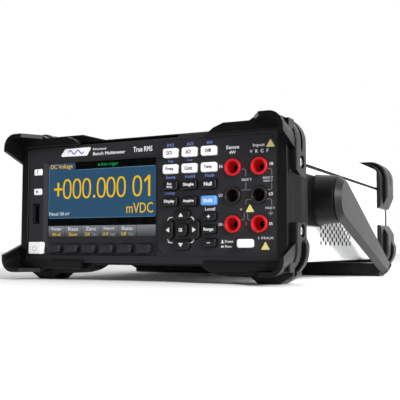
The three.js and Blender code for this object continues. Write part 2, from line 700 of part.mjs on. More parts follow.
function addRearBumper() {
  const { front, step, rim, back, half_width: side, half_height: tall } = REAR;
  const thin = rectangle(4 - side, side - 4, 4 - tall, tall - 4, 14);
  const lobes = cornerLobes(LOBE.rear_front, back);
  const body = join([backward(thin, front, step + 1, 4), backward(rearOutline(), step, back, 4), ...lobes]);
  const half = CASE_WIDTH / 2 + GAP;
  const ceiling = CASE_HEIGHT / 2 + GAP;
  const caseRoom = backward(rectangle(-half, half, -ceiling, ceiling, CASE_CORNER), front - 1, rim);
  const mouth = backward(rectangle(-101, 101, -38, 38, 6), rim - 1, back + 1);
  const { low, high, low_shoulder: lowShoulder, high_shoulder: highShoulder, end_x: end } = REAR_GAP;
  const reach = LOBE.half_width + 1;
  const slope = reach - side;
  const gap = polygon([
    [half - 0.1, low], [end, low], [side, lowShoulder], [reach, lowShoulder - slope],
    [reach, highShoulder + slope], [side, highShoulder], [end, high], [half - 0.1, high],
  ]);
  const notch = backward(gap, front - 1, back + 1);
  add('rear_bumper', 'rubber', cut(body, [caseRoom, mouth, notch, mirrored(notch)]));
}

// ---------- bail handle ----------

// Each hub is a cone on a flat pad that runs forward to the bumper's guard.
function addHubs() {
  const { base, tip, base_x: baseX, outer_x: outer, pad_front: front, pad_top: top, pad_low: low } = HUB;
  const start = CASE_WIDTH / 2 + GAP;
  const outline = new THREE.Shape();
  outline.moveTo(front, low);
  outline.lineTo(PIVOT.y, low);
  outline.absarc(PIVOT.y, (top + low) / 2, (top - low) / 2, -Math.PI / 2, Math.PI / 2);
  outline.lineTo(front, top);
  outline.closePath();
  const cone = new THREE.CylinderGeometry(tip, base, outer - baseX + 1, 24);
  cone.rotateZ(-Math.PI / 2).translate((outer + baseX - 1) / 2, PIVOT.y, PIVOT.z);
  const hub = geometryOf(join([across(outline, start, baseX, 8), cone]));
  add('hub_right', 'handle', hub);
  add('hub_left', 'handle', mirrored(hub));
}

function tangentAngle(target, above) {
  const dy = target.y - PIVOT.y;
  const dz = target.z - PIVOT.z;
  const spread = Math.acos(ARM.radius / Math.hypot(dy, dz));
  return Math.atan2(dz, dy) + (above ? spread : -spread);
}

function armOutline() {
  const shape = new THREE.Shape();
  const upper = tangentAngle(ARM_TIP, true);
  const lower = tangentAngle(ARM_HEEL, false) + 2 * Math.PI;
  shape.absarc(PIVOT.y, PIVOT.z, ARM.radius, upper, lower);
  shape.lineTo(ARM_HEEL.y, ARM_HEEL.z);
  shape.lineTo(ARM_TIP.y, ARM_TIP.z);
  shape.closePath();
  return shape;
}

function armGeometry() {
  const { inner_x: inner, outer_x: outer, chamfer } = ARM;
  const geometry = new THREE.ExtrudeGeometry(armOutline(), {
    depth: outer - inner - chamfer,
    bevelSize: chamfer,
    bevelThickness: chamfer,
    bevelOffset: -chamfer,
    bevelSegments: 1,
    curveSegments: 14,
  });
  geometry.applyMatrix4(LOOK_ACROSS).translate(inner, 0, 0);
  const inside = box(inner - chamfer - 1, inner, 0, 300, -100, 100);
  return geometryOf(cut(solidOf(geometry), [inside]));
}

function addHandle() {
  const arm = armGeometry();
  add('handle_arm_right', 'handle', arm);
  add('handle_arm_left', 'handle', mirrored(arm));
  const { front, back, top, bottom, toe } = GRIP;
  const section = polygon([
    [front, top], [toe, bottom + 1.5], [toe + 1.5, bottom], [back - 9, bottom],
    [back, bottom + 7.5], [back, top],
  ]);
  const reach = ARM.inner_x - GAP;
  add('handle_grip', 'handle', across(section, -reach, reach));
}

// ---------- inside ----------

function boxOf({ left, right, front, back, low, high }) {
  return box(left, right, front, back, low, high);
}

function addBoards() {
  const { left, right, front, back, half_height: tall, usb_room: room, usb_tall: roomTall } = FRONT_BOARD;
  const usbRoom = box(USB.x - room, USB.x + room, front - 1, back + 1, USB.z - roomTall, USB.z + roomTall);
  add('front_board', 'board', cut(solidOf(box(left, right, front, back, -tall, tall)), [usbRoom]));
  const { half_width: half, ...sheet } = MAIN_BOARD;
  const { x, z, width, height, tail } = SELECTOR_KEY;
  const switchRoom = box(x - width, x + width, sheet.front - 1, tail + 16, z - height, z + height);
  add('main_board', 'board', cut(solidOf(boxOf({ left: -half, right: half, ...sheet })), [switchRoom]));
}

function addTransformer() {
  const { front, back } = TRANSFORMER;
  const { columns, low, high } = CORE_WINDOWS;
  const windows = columns.map(([left, right]) => box(left, right, front - 1, back + 1, low, high));
  add('transformer', 'core', cut(solidOf(boxOf(TRANSFORMER)), windows).add(solidOf(boxOf(WINDING))));
}

// ---------- assembly ----------

const keys = allKeys();
addCovers();
addRearPanel();
addPowerInlet();
addRearTerminals();
addRearPorts();
addBezel(keys);
addDisplay();
addUsbSocket();
addJacks();
keys.forEach(addKey);
addFrontBumper();
addScrews();
addRearBumper();
addHubs();
addHandle();
addBoards();
addTransformer();

const model = new THREE.Group();
model.add(instrument);

export default model;
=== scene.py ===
import json
import math

import bmesh
import bpy
from mathutils import Matrix, Vector


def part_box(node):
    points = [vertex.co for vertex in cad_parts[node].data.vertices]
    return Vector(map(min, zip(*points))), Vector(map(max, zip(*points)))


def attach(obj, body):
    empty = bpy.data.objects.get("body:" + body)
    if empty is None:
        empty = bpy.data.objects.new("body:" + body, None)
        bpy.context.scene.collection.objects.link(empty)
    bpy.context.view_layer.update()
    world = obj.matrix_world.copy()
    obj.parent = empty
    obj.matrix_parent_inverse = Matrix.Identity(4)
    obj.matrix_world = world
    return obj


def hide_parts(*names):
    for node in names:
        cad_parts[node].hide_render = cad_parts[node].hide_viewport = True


# The looks of a half-rack bench multimeter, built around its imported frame.
# Outlines are drawn in millimetres from the middle of the front panel's face: x across the
# panel, y back into the case, z up. Each piece is turned into the frame's metres when placed.

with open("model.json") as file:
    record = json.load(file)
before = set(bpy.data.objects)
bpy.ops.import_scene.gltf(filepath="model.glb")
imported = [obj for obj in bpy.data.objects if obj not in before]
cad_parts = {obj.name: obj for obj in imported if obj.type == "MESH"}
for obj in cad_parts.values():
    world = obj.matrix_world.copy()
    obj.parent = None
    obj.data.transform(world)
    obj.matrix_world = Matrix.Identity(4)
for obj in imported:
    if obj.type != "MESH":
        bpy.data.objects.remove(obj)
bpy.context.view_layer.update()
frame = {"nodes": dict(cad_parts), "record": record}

MM = 0.001
bezel_low, bezel_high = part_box("front_bezel")
PANEL = Vector((0, bezel_low.y, (bezel_low.z + bezel_high.z) / 2))
TO_FRAME = Matrix.Translation(PANEL) @ Matrix.Scale(MM, 4)
TO_PANEL = TO_FRAME.inverted()
BODY_OF = {
    node: body
    for body, nodes in frame["record"]["behaviour"]["bodies"].items()
    for node in nodes
}
SLOT_OF = {part["node"]: part["material_slot"] for part in frame["record"]["subparts"]}


def reach(node):
    """A CAD node's lowest and highest corners, in panel millimetres."""
    low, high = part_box(node)
    return TO_PANEL @ low, TO_PANEL @ high


# ---------- driving sizes ----------

CASE_LOW, CASE_HIGH = reach("bottom_case")
COVER_LOW, COVER_HIGH = reach("top_cover")
SHEET = 1.2
SEAM_REVEAL = 0.45
CASE_CORNER = 3.5
BEZEL_LOW, BEZEL_HIGH = reach("front_bezel")
BEZEL_LEFT_TOP = 43.2
BEZEL_STEP = (28, 30)
SCREEN = {"left": -86.2, "right": 10.3, "low": -26.4, "high": 30.6, "front": 2.5}
RECESS = {"left": -89.2, "right": 12.6, "low": -39.8, "high": 32.0, "depth": 2.0}
KEYPAD = {"left": 13, "right": 102.8, "low": -39.8, "high": 41.2, "cut": 5.2}
KEYPAD_LINE = {"half": 0.22, "depth": 0.35}
KEY_GAP = 0.35
KEY_HOLE_CORNER = {"nav": 3.0, "plain": 1.7}
KEY_CORNER = {"nav": 2.6, "side": 0.9, "plain": 1.5}
KEY_RIM = {"width": 0.75, "dip": 0.12, "crown": 0.03}
USB_GAP = {"across": 0.5, "up": 0.9}
BADGE_PROUD = 0.5
PRINT = 0.05
OVERLAP = 0.01
JACK = {"outer": 5.9, "bore": 4.3, "contact": 2.1, "proud": 2.0, "floor": 5.4, "tail": 15.0}
BAND = {"half": 114.5, "front": 5, "back": 25, "top": 54.8, "low": -53.4, "corner": 18, "shoulder": 52}
HOOD = {"half": 113.5, "tall": 52.5, "corner": 10, "wall": 3, "front": -18}
GROOVE = {"front": 13, "back": 17, "depth": 2.4}
FOOT_LOW = reach("front_bumper")[0].z
SCREW_SEAT = 111.5
PIVOT = Vector((0, 70, 1.3))
HUB = {"base": 18.5, "tip": 17.0, "base_x": 109, "outer_x": 124.2}
HUB_PAD = {"front": 25.8, "top": 18, "low": -18.5}
ARM = {"inner": 124.6, "outer": 129.2, "radius": 16.8, "chamfer": 4.0}
LOBE = {"half": 116.5, "inner": 82, "low": -55.2, "top": -33, "root": -27}
LOBE_FRONT = 18
CASE_GAP = 0.3
CASE_ROOM_END = 29
SEAM_LIP = {"end": 290, "down": 7, "up": 5}
REAR_GROOVE = {"front": 287.5, "back": 291, "depth": 2.6}
REAR_GAP = {"low": -11, "high": 6, "low_shoulder": -20, "high_shoulder": 18, "end": 109}
GUARD_HALF = 27
SCREW_RECESS = 4.5
REAR_JACK = {"columns": (-90, -70.95), "rows": (17, -2.05, -21.1), "bore": 4.2}
REAR_VENT = {"first": -34, "pitch": 6, "width": 2.6, "low": 8, "high": 32, "count": 12}
COAX_PLACES = [(10, -19), (25, -19)]
ARM_TIP = (220.5, -46.8)
ARM_HEEL = (203.5, -57.9)
REAR = {"front": 263, "step": 275, "rim": 300, "back": 304, "half": 114.5, "tall": 53}
VENT = {"radius": 2.0, "first": 81, "pitch": 11.6, "rise": 5.9, "low": -30.2, "columns": 8, "rows": 4}


# ---------- materials ----------


def linear(colour):
    """A display colour of 0 to 255 as linear light."""
    shares = [value / 255 for value in colour]
    return [s / 12.92 if s <= 0.04045 else ((s + 0.055) / 1.055) ** 2.4 for s in shares] + [1]


def scaled(colour, share):
    return [min(1, c * share) for c in colour[:3]] + [1]


def add(tree, kind, **values):
    """A new shader node; lower-case names are its settings, the others its inputs."""
    node = tree.nodes.new("ShaderNode" + kind)
    for name, value in values.items():
        if name.islower():
            setattr(node, name, value)
        else:
            node.inputs[name.replace("_", " ")].default_value = value
    return node


def shader(name, **constants):
    """A new material: itself, its tree, a way to link its nodes, and its surface's inputs."""
    material = bpy.data.materials.new(name)
    material.use_nodes = True
    tree = material.node_tree
    surface = tree.nodes["Principled BSDF"].inputs
    for socket, value in constants.items():
        surface[socket.replace("_", " ")].default_value = value
    return material, tree, tree.links.new, surface


def noise(tree, coordinates, **values):
    texture = add(tree, "TexNoise", **values)
    tree.links.new(coordinates, texture.inputs["Vector"])
    return texture.outputs["Fac"]


def uneven_gloss(tree, source, surface, low, high):
    gloss = add(tree, "MapRange", To_Min=low, To_Max=high)
    tree.links.new(source, gloss.inputs["Value"])
    tree.links.new(gloss.outputs["Result"], surface["Roughness"])


def relief(tree, source, surface, strength, distance):
    bump = add(tree, "Bump", Strength=strength, Distance=distance)
    tree.links.new(source, bump.inputs["Height"])
    tree.links.new(bump.outputs["Normal"], surface["Normal"])


def moulded(name, colour, roughness, grain=0.02, mottling=0.03, fine=2600, specular=0.5):
    """Moulded or painted stock: fine surface grain, soft mottling of colour, uneven gloss."""
    material, tree, join, surface = shader(name, Specular_IOR_Level=specular)
    place = add(tree, "TexCoord").outputs["Object"]
    broad = noise(tree, place, Scale=38, Detail=5)
    colour = linear(colour)
    light, dark = scaled(colour, 1 + mottling), scaled(colour, 1 - mottling)
    tint = add(tree, "Mix", data_type="RGBA", A=dark, B=light)
    join(broad, tint.inputs["Factor"])
    join(tint.outputs["Result"], surface["Base Color"])
    uneven_gloss(tree, broad, surface, roughness - 0.05, roughness + 0.05)
    relief(tree, noise(tree, place, Scale=fine, Detail=3), surface, grain, 0.0001)
    return material


def metal(name, colour, roughness, brushed):
    """Plated metal with fine brushing along x."""
    material, tree, join, surface = shader(name, Metallic=1.0, Base_Color=linear(colour))
    stretch = add(tree, "Mapping", Scale=(30, 1400, 1400))
    join(add(tree, "TexCoord").outputs["Object"], stretch.inputs["Vector"])
    streaks = noise(tree, stretch.outputs["Vector"], Scale=1.0, Detail=4)
    uneven_gloss(tree, streaks, surface, roughness - 0.06, roughness + 0.08)
    relief(tree, streaks, surface, brushed, 0.00005)
    return material


def lit(name, colour, fade=None):
    """A lit display area with a faint pixel structure; fade is (low z, high z, low colour)."""
    material, tree, join, surface = shader(
        name, Base_Color=(0, 0, 0, 1), Roughness=0.35, Specular_IOR_Level=0.05, Emission_Strength=1.0)
    place = add(tree, "TexCoord").outputs["Object"]
    pixels = add(tree, "TexWave", bands_direction="X", Scale=1500)
    join(place, pixels.inputs["Vector"])
    colour = linear(colour)
    shade = add(tree, "Mix", data_type="RGBA", A=scaled(colour, 0.96), B=scaled(colour, 1.04))
    join(pixels.outputs["Fac"], shade.inputs["Factor"])
    result = shade.outputs["Result"]
    if fade:
        low, high = ((TO_FRAME @ Vector((0, 0, z))).z for z in fade[:2])
        split = add(tree, "SeparateXYZ")
        join(place, split.inputs["Vector"])
        height = add(tree, "MapRange", From_Min=low, From_Max=high)
        join(split.outputs["Z"], height.inputs["Value"])
        blend = add(tree, "Mix", data_type="RGBA", A=linear(fade[2]))
        join(height.outputs["Result"], blend.inputs["Factor"])
        join(result, blend.inputs["B"])
        result = blend.outputs["Result"]
    join(result, surface["Emission Color"])
    return material


def clear(name):
    """Clear plastic with faintly uneven gloss."""
    material, tree, _, surface = shader(
        name, Transmission_Weight=1.0, IOR=1.12, Base_Color=(0.97, 0.98, 1.0, 1))
    haze = noise(tree, add(tree, "TexCoord").outputs["Object"], Scale=60)
    uneven_gloss(tree, haze, surface, 0.01, 0.04)
    return material


PAINT = moulded("case_paint", (247, 248, 249), 0.42, 0.10, 0.01, fine=1800)
# Dark painted shade for the inside of the case sheet, seen through the vent holes and at its cut edges.
INSIDE_SHADE = moulded("case_primer", (30, 30, 32), 0.60, 0.10, 0.12, specular=0.2)
BEZEL = moulded("bezel_plastic", (33, 32, 37), 0.48, 0.10, 0.06, specular=0.36)
RUBBER = moulded("bumper_rubber", (9, 9, 10), 0.36, 0.10, 0.10, fine=2100, specular=0.25)
HANDLE = moulded("handle_plastic", (12, 12, 13), 0.36, 0.08, 0.10, fine=1900, specular=0.34)
HUB_PLASTIC = moulded("hub_plastic", (8, 8, 9), 0.38, 0.07, 0.10, fine=2300, specular=0.2)
WHITE_KEY = moulded("white_key_plastic", (250, 250, 248), 0.40, 0.04, 0.02)
BLACK_KEY = moulded("black_key_plastic", (15, 15, 17), 0.40, 0.06, 0.08, specular=0.4)
SOFT_KEY = moulded("softkey_plastic", (36, 36, 39), 0.46, 0.06, 0.06, specular=0.35)
BLUE_KEY = moulded("blue_key_plastic", (96, 160, 240), 0.38, 0.03, 0.03)
RED = moulded("red_jack_plastic", (196, 24, 32), 0.42, 0.02, 0.04, specular=0.3)
BLACK = moulded("black_jack_plastic", (24, 17, 17), 0.42, 0.03, 0.05)
# Near-black painted shade for the backs of deep holes and the lips behind the cover seam, where shade falls.
HOLE_SHADE = moulded("deep_bore_plastic", (9, 8, 8), 0.60, 0.02, 0.05)
INLET = moulded("inlet_plastic", (22, 22, 22), 0.45, 0.08, 0.08)
BOARD = moulded("board_laminate", (22, 84, 48), 0.40, 0.15, 0.20, fine=900)
CORE = moulded("transformer_varnish", (96, 66, 40), 0.38, 0.40, 0.25, fine=700)
BADGE = moulded("badge_enamel", (246, 246, 244), 0.30, 0.02, 0.01)
FLOOR = moulded("studio_floor", (252, 252, 252), 0.8, 0.0, 0.004, specular=0.1)
STEEL = metal("plated_steel", (196, 198, 200), 0.30, brushed=0.25)
BRIGHT = metal("bright_screw_steel", (226, 227, 229), 0.20, brushed=0.05)
BRASS = metal("contact_brass", (206, 170, 96), 0.28, brushed=0.05)
INK_WHITE = moulded("white_ink", (225, 226, 228), 0.55)
INK_GREY = moulded("grey_ink", (116, 116, 120), 0.55)
INK_BLUE = moulded("periwinkle_ink", (112, 128, 190), 0.55)
INK_BLACK = moulded("black_ink", (20, 20, 22), 0.55)
INK_PALE = moulded("pale_grey_ink", (190, 192, 196), 0.55)
INK_YELLOW = moulded("pale_yellow_ink", (226, 214, 132), 0.50)
INK_NAVY = moulded("navy_ink", (40, 72, 190), 0.45)
GLASS = clear("window_polycarbonate")
LCD_BLACK = lit("display_black", (6, 6, 7))
LCD_BLUE = lit("display_blue", (47, 81, 107))
LCD_EDGE = lit("display_edge", (96, 136, 166))
LCD_AMBER = lit("display_amber", (240, 190, 0))
LCD_GREEN = lit("display_green", (18, 168, 82))
LCD_WHITE = lit("display_white", (226, 230, 232))
LCD_MENU = lit("display_menu", (122, 126, 130), fade=(-25.6, -18.6, (62, 64, 68)))
LCD_PALE = lit("display_pale", (150, 153, 156))


# ---------- outlines ----------


def rounded(points, radius=0.0, steps=6, closed=True):
    """Corner points (u, v) or (u, v, radius) as a path whose corners are arcs."""
    path = []
    count = len(points)
    for i, point in enumerate(points):
        corner = Vector(point[:2])
        bend = point[2] if len(point) > 2 else radius
        if bend <= 0 or (not closed and i in (0, count - 1)):
            path.append(corner)
            continue
        before = (Vector(points[i - 1][:2]) - corner).normalized()
        after = (Vector(points[(i + 1) % count][:2]) - corner).normalized()
        half = before.angle(after) / 2
        centre = corner + (before + after).normalized() * bend / math.sin(half)
        first = corner + before * bend / math.tan(half) - centre
        last = corner + after * bend / math.tan(half) - centre
        start = math.atan2(first.y, first.x)
        turn = (math.atan2(last.y, last.x) - start + math.pi) % (2 * math.pi) - math.pi
        for step in range(steps + 1):
            angle = start + turn * step / steps
            path.append(centre + bend * Vector((math.cos(angle), math.sin(angle))))
    return path


def rectangle(left, right, low, high, radius=0.0, steps=6):
    return rounded([(left, low), (right, low), (right, high), (left, high)], radius, steps)


def around(low, high, grow=0.0, radius=0.0, steps=6):
    """The outline of a box seen from the front, grown on every side."""
    return rectangle(low.x - grow, high.x + grow, low.z - grow, high.z + grow, radius, steps)


def centre_of(low, high):
    return (low.x + high.x) / 2, (low.z + high.z) / 2


def circle(u, v, radius, steps=32):
    turns = [2 * math.pi * i / steps for i in range(steps)]
    return [Vector((u + radius * math.cos(t), v + radius * math.sin(t))) for t in turns]


def curve_between(start, control, end, steps=8):
    """Points of a quadratic curve, both ends included."""
    a, b, c = Vector(start), Vector(control), Vector(end)
    shares = [i / steps for i in range(steps + 1)]
    return [a * (1 - t) ** 2 + b * 2 * t * (1 - t) + c * t * t for t in shares]


def stroke(points, width, radius=0.0, steps=5, closed=False):
    """The outline of a line of a given width along a path."""
    path = rounded(points, radius, steps, closed)
    left, right = [], []
    for i, point in enumerate(path):
        ahead = path[min(i + 1, len(path) - 1)]
        behind = path[max(i - 1, 0)]
        along = (ahead - behind).normalized()
        side = Vector((-along.y, along.x)) * width / 2
        left.append(point + side)
        right.append(point - side)
    return left + right[::-1]


# ---------- solids ----------

AXES = {
    "x": lambda u, v, along: Vector((along, u, v)),
    "y": lambda u, v, along: Vector((u, along, v)),
    "z": lambda u, v, along: Vector((u, v, along)),
}


def show(name, data):
    thing = bpy.data.objects.new(name, data)
    bpy.context.scene.collection.objects.link(thing)
    return thing


def link(name, maker, material):
    bmesh.ops.recalc_face_normals(maker, faces=maker.faces)
    maker.normal_update()
    mesh = bpy.data.meshes.new(name)
    maker.to_mesh(mesh)
    maker.free()
    mesh.materials.append(material)
    return show(name, mesh)


def add_loft(maker, levels, axis):
    """A solid through outlines of the same number of points, each (outline, place along the axis)."""
    at = AXES[axis]
    rings = [[maker.verts.new(at(p[0], p[1], along)) for p in outline] for outline, along in levels]
    maker.faces.new(rings[0])
    maker.faces.new(rings[-1][::-1])
    for one, two in zip(rings, rings[1:]):
        for i in range(len(one)):
            j = (i + 1) % len(one)
            maker.faces.new((one[j], one[i], two[i], two[j]))


def loft(name, material, levels, axis="y"):
    maker = bmesh.new()
    add_loft(maker, levels, axis)
    return link(name, maker, material)


def prisms(name, material, shapes):
    """One object of separate prisms, each (outline, axis, start, end)."""
    maker = bmesh.new()
    for outline, axis, start, end in shapes:
        add_loft(maker, [(outline, start), (outline, end)], axis)
    return link(name, maker, material)


def prism(name, material, outline, axis, start, end):
    return prisms(name, material, [(outline, axis, start, end)])


def lathe(name, material, profile, axis, centre, steps=48):
    """Turns (radius, along) points round an axis through centre.

    The profile closes on itself, or on the axis."""
    maker = bmesh.new()
    at, middle = AXES[axis], Vector(centre)
    rings = []
    for radius, along in profile:
        turns = [2 * math.pi * i / steps for i in range(steps if radius else 1)]
        spots = [at(radius * math.cos(t), radius * math.sin(t), along) + middle for t in turns]
        rings.append([maker.verts.new(spot) for spot in spots])
    pairs = list(zip(rings, rings[1:]))
    if len(rings[0]) > 1:
        pairs.append((rings[-1], rings[0]))
    for one, two in pairs:
        for i in range(steps):
            j = (i + 1) % steps
            corners = [one[i % len(one)], one[j % len(one)], two[j % len(two)], two[i % len(two)]]
            corners = list(dict.fromkeys(corners))
            if len(corners) > 2:
                maker.faces.new(corners)
    return link(name, maker, material)


def bake(piece):
    """Applies the piece's modifiers to its mesh."""
    graph = bpy.context.evaluated_depsgraph_get()
    mesh = bpy.data.meshes.new_from_object(piece.evaluated_get(graph))
    piece.modifiers.clear()
    piece.data = mesh
    return piece


def boolean(piece, other, operation):
    change = piece.modifiers.new("change", "BOOLEAN")
    change.operation = operation
    change.solver = "EXACT"
    change.object = other
    bake(piece)
    bpy.data.objects.remove(other)
    return piece


def carve(piece, shapes):
    """Cuts prisms that don't touch each other out of a piece."""
    return boolean(piece, prisms("cutter", piece.data.materials[0], shapes), "DIFFERENCE")


def fuse(piece, others):
    for other in others:
        boolean(piece, other, "UNION")
    return piece


def tidy(piece):
    """Joins coplanar faces and drops stray points after a boolean."""
    maker = bmesh.new()
    maker.from_mesh(piece.data)
    bmesh.ops.remove_doubles(maker, verts=maker.verts, dist=0.002)
    bmesh.ops.dissolve_limit(maker, angle_limit=math.radians(0.8), verts=maker.verts, edges=maker.edges)
    maker.to_mesh(piece.data)
    maker.free()
    return piece


def soften(piece, width, segments=2, angle=32):
    """Rounds every edge sharper than angle."""
    edge = piece.modifiers.new("edge", "BEVEL")
    edge.width = width
    edge.segments = segments
    edge.limit_method = "ANGLE"
    edge.angle_limit = math.radians(angle)
    edge.miter_outer = "MITER_ARC"
    edge.use_clamp_overlap = True
    return bake(piece)


def smooth(piece, angle=34):
    piece.data.polygons.foreach_set("use_smooth", [True] * len(piece.data.polygons))
    piece.data.set_sharp_from_angle(angle=math.radians(angle))
    even = piece.modifiers.new("even", "WEIGHTED_NORMAL")
    even.keep_sharp = True
    return bake(piece)


def merged(name, parts):
    """One object out of several, each part keeping its own material."""
    maker = bmesh.new()
    materials = []
    for part in parts:
        places = []
        for material in part.data.materials:
            if material not in materials:
                materials.append(material)
            places.append(materials.index(material))
        start = len(maker.faces)
        maker.from_mesh(part.data)
        maker.faces.ensure_lookup_table()
        for face in maker.faces[start:]:
            face.material_index = places[face.material_index]
        bpy.data.objects.remove(part)
    mesh = bpy.data.meshes.new(name)
    maker.to_mesh(mesh)
    maker.free()
    for material in materials:
        mesh.materials.append(material)
    return show(name, mesh)


def place(piece, *nodes, body=None, slot=None):
    """Turns a piece into the frame's metres, and lets it ride for the CAD nodes it stands for."""
    piece.data.transform(TO_FRAME)
    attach(piece, body or BODY_OF[nodes[0]])
    if nodes:
        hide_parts(*nodes)
    return piece


def words(text, material, left, right, low, high, front, weight=0.0):
    """Raised print that fills a box on a surface at y = front; weight thickens the strokes."""
    letters = bpy.data.curves.new("letters", "FONT")
    letters.body = text
    letters.extrude = 0.5
    letters.offset = weight
    letters.resolution_u = 3
    source = show("letters", letters)
    graph = bpy.context.evaluated_depsgraph_get()
    mesh = bpy.data.meshes.new_from_object(source.evaluated_get(graph))
    bpy.data.objects.remove(source)
    xs = [v.co.x for v in mesh.vertices]
    ys = [v.co.y for v in mesh.vertices]
    wide = (right - left) / (max(xs) - min(xs))
    tall = (high - low) / (max(ys) - min(ys))
    for v in mesh.vertices:
        across, up, out = v.co
        v.co = (left + (across - min(xs)) * wide, front - (out + 0.5) * PRINT, low + (up - min(ys)) * tall)
    maker = bmesh.new()
    maker.from_mesh(mesh)
    for face in maker.faces:
        face.material_index = 0
    bmesh.ops.remove_doubles(maker, verts=maker.verts, dist=0.001)
    return link("print", maker, material)


def line(points, material, width, front, radius=0.0, thickness=PRINT):
    return prism("print", material, stroke(points, width, radius), "y", front - thickness, front)


def patch(outline, material, front, thickness=PRINT):
    return prism("print", material, outline, "y", front - thickness, front)


# ---------- case ----------


def case_shell(name, seam, edge_z):
    """A folded cover: sides from the seam round two bent corners."""
    half = CASE_HIGH.x
    wall = half - SHEET
    outside = [(-half, seam), (-half, edge_z, CASE_CORNER), (half, edge_z, CASE_CORNER), (half, seam)]
    bend = CASE_CORNER - SHEET
    roof = edge_z - math.copysign(SHEET, edge_z)
    inside = [(wall, seam), (wall, roof, bend), (-wall, roof, bend), (-wall, seam)]
    shell = prism(name, PAINT, rounded(outside + inside, 0, 8), "y", CASE_LOW.y, CASE_HIGH.y)
    return soften(shell, 0.35, 2)


def shade_inside(shell):
    """Leaves only the outer skin in case paint; the walls of holes and the inside get a dark painted shade,
    for the shade inside the case.
    """
    shell.data.materials.append(INSIDE_SHADE)
    for face in shell.data.polygons:
        across = abs(face.center.x) - CASE_HIGH.x + CASE_CORNER
        up = abs(face.center.z) - max(COVER_HIGH.z, -CASE_LOW.z) + CASE_CORNER
        outward = math.hypot(across, up) if min(across, up) > 0 else max(across, up)
        # Faces deeper than the outer skin take the painted shade.
        if outward < CASE_CORNER - 0.42:
            face.material_index = 1
    return shell


def case_outline(grow):
    half, low, high = CASE_HIGH.x + grow, CASE_LOW.z - grow, COVER_HIGH.z + grow
    return rectangle(-half, half, low, high, CASE_CORNER, 4)


def vent_holes(side):
    holes = []
    for column in range(2 * VENT["columns"] - 1):
        rows = VENT["rows"] - column % 2
        for row in range(rows):
            y = VENT["first"] + column * VENT["pitch"] / 2
            z = VENT["low"] + (row + column % 2 / 2) * VENT["rise"]
            ends = sorted((side * (CASE_HIGH.x - 3), side * (CASE_HIGH.x + 2)))
            holes.append((circle(y, z, VENT["radius"], 20), "x", *ends))
    return holes


def make_case():
    top = case_shell("top_cover_shell", COVER_LOW.z + SEAM_REVEAL, COVER_HIGH.z)
    place(smooth(shade_inside(top)), "top_cover")
    low = case_shell("bottom_case_shell", CASE_HIGH.z - SEAM_REVEAL, CASE_LOW.z)
    carve(low, vent_holes(1) + vent_holes(-1))
    place(smooth(shade_inside(low)), "bottom_case")
    # The lips behind the seam are near-black in place of the case paint: painted shade in the seam between
    # the covers.
    lips = []
    inner = CASE_HIGH.x - SHEET - CASE_GAP
    for side in (-1, 1):
        ends = sorted((side * inner, side * (inner - SHEET)))
        lip = rectangle(*ends, CASE_HIGH.z - SEAM_LIP["down"], COVER_LOW.z + SEAM_LIP["up"])
        lips.append((lip, "y", CASE_LOW.y + 3, SEAM_LIP["end"]))
    place(smooth(prisms("cover_seam_lips", HOLE_SHADE, lips)), body=BODY_OF["bottom_case"], slot="case_paint")


# ---------- front panel ----------


def key_boxes():
    keys = [n for n in BODY_OF if BODY_OF[n] == n]
    return {name: reach(name) for name in keys}


def jack_places():
    places = {}
    for name in BODY_OF:
        if name.startswith("jack_"):
            places[name] = centre_of(*reach(name))
    return places


def keypad_outline(grow):
    left, right, low, high, cut = KEYPAD.values()
    left, right, low, high = left - grow, right + grow, low - grow, high + grow
    return rounded([
        (left + cut, low), (right - cut, low), (right, low + cut), (right, high - cut),
        (right - cut, high), (left + cut, high), (left, high - cut), (left, low + cut),
    ], 1.0, 3)


def make_bezel():
    half = BEZEL_HIGH.x
    low, high = BEZEL_LOW.z, BEZEL_HIGH.z
    back = BEZEL_HIGH.y
    outline = rounded([
        (-half, low, 1.5), (half, low, 1.5), (half, high, 1.5), (BEZEL_STEP[1], high, 0.8),
        (BEZEL_STEP[0], BEZEL_LEFT_TOP, 0.8), (-half, BEZEL_LEFT_TOP, 1.5),
    ], 0, 5)
    bezel = soften(prism("front_panel", BEZEL, outline, "y", 0, back), 0.9, 3, 60)
    wall, skin = 2, 3
    roof = BEZEL_LEFT_TOP - wall
    inside = half - wall
    step = RECESS["depth"] + skin
    carve(bezel, [(rectangle(-inside, inside, -roof, roof), "y", step, back + 1)])
    carve(bezel, [
        (rectangle(RECESS["right"] + 3, inside, -roof, roof), "y", skin, step + 1),
        (rectangle(-inside, RECESS["left"] - 3, -roof, roof), "y", skin, step + 1),
    ])
    mouth = rectangle(RECESS["left"], RECESS["right"], RECESS["low"], RECESS["high"], 1.2, 3)
    base = rectangle(SCREEN["left"], RECESS["right"] - 0.5, RECESS["low"] + 0.5, SCREEN["high"], 0.7, 3)
    boolean(bezel, loft("cutter", BEZEL, [(mouth, -0.001), (base, RECESS["depth"])]), "DIFFERENCE")
    half_line, depth = KEYPAD_LINE.values()
    groove = prism("cutter", BEZEL, keypad_outline(half_line), "y", -1, depth)
    carve(groove, [(keypad_outline(-half_line), "y", -2, 1)])
    boolean(bezel, groove, "DIFFERENCE")
    screen = rectangle(SCREEN["left"] + 0.01, SCREEN["right"], SCREEN["low"], SCREEN["high"] - 0.01)
    holes = [(screen, "y", 1, 9)]
    for name, (first, last) in key_boxes().items():
        radius = KEY_HOLE_CORNER["nav" if name.startswith("nav") else "plain"]
        holes.append((around(first, last, KEY_GAP, radius, 4), "y", -1, back + 2))
    for x, z in jack_places().values():
        holes.append((circle(x, z, JACK["outer"] + 0.25, 40), "y", -1, back + 2))
    first, last = reach("usb_socket")
    across, up = USB_GAP.values()
    port = rectangle(first.x - across, last.x + across, first.z - up, last.z + up, 0.5, 2)
    holes.append((port, "y", -1, back + 2))
    carve(bezel, holes)
    tidy(bezel)
    place(smooth(soften(bezel, 0.22, 2, 50), 30), "front_bezel")


MENU = [
    ("Range", "100 mV", ""), ("Rate", "Slow", ""), ("Zero", "Off", "On"), ("Input", "10 M", "Auto"),
    ("Ratio", "Off", "On"),
]


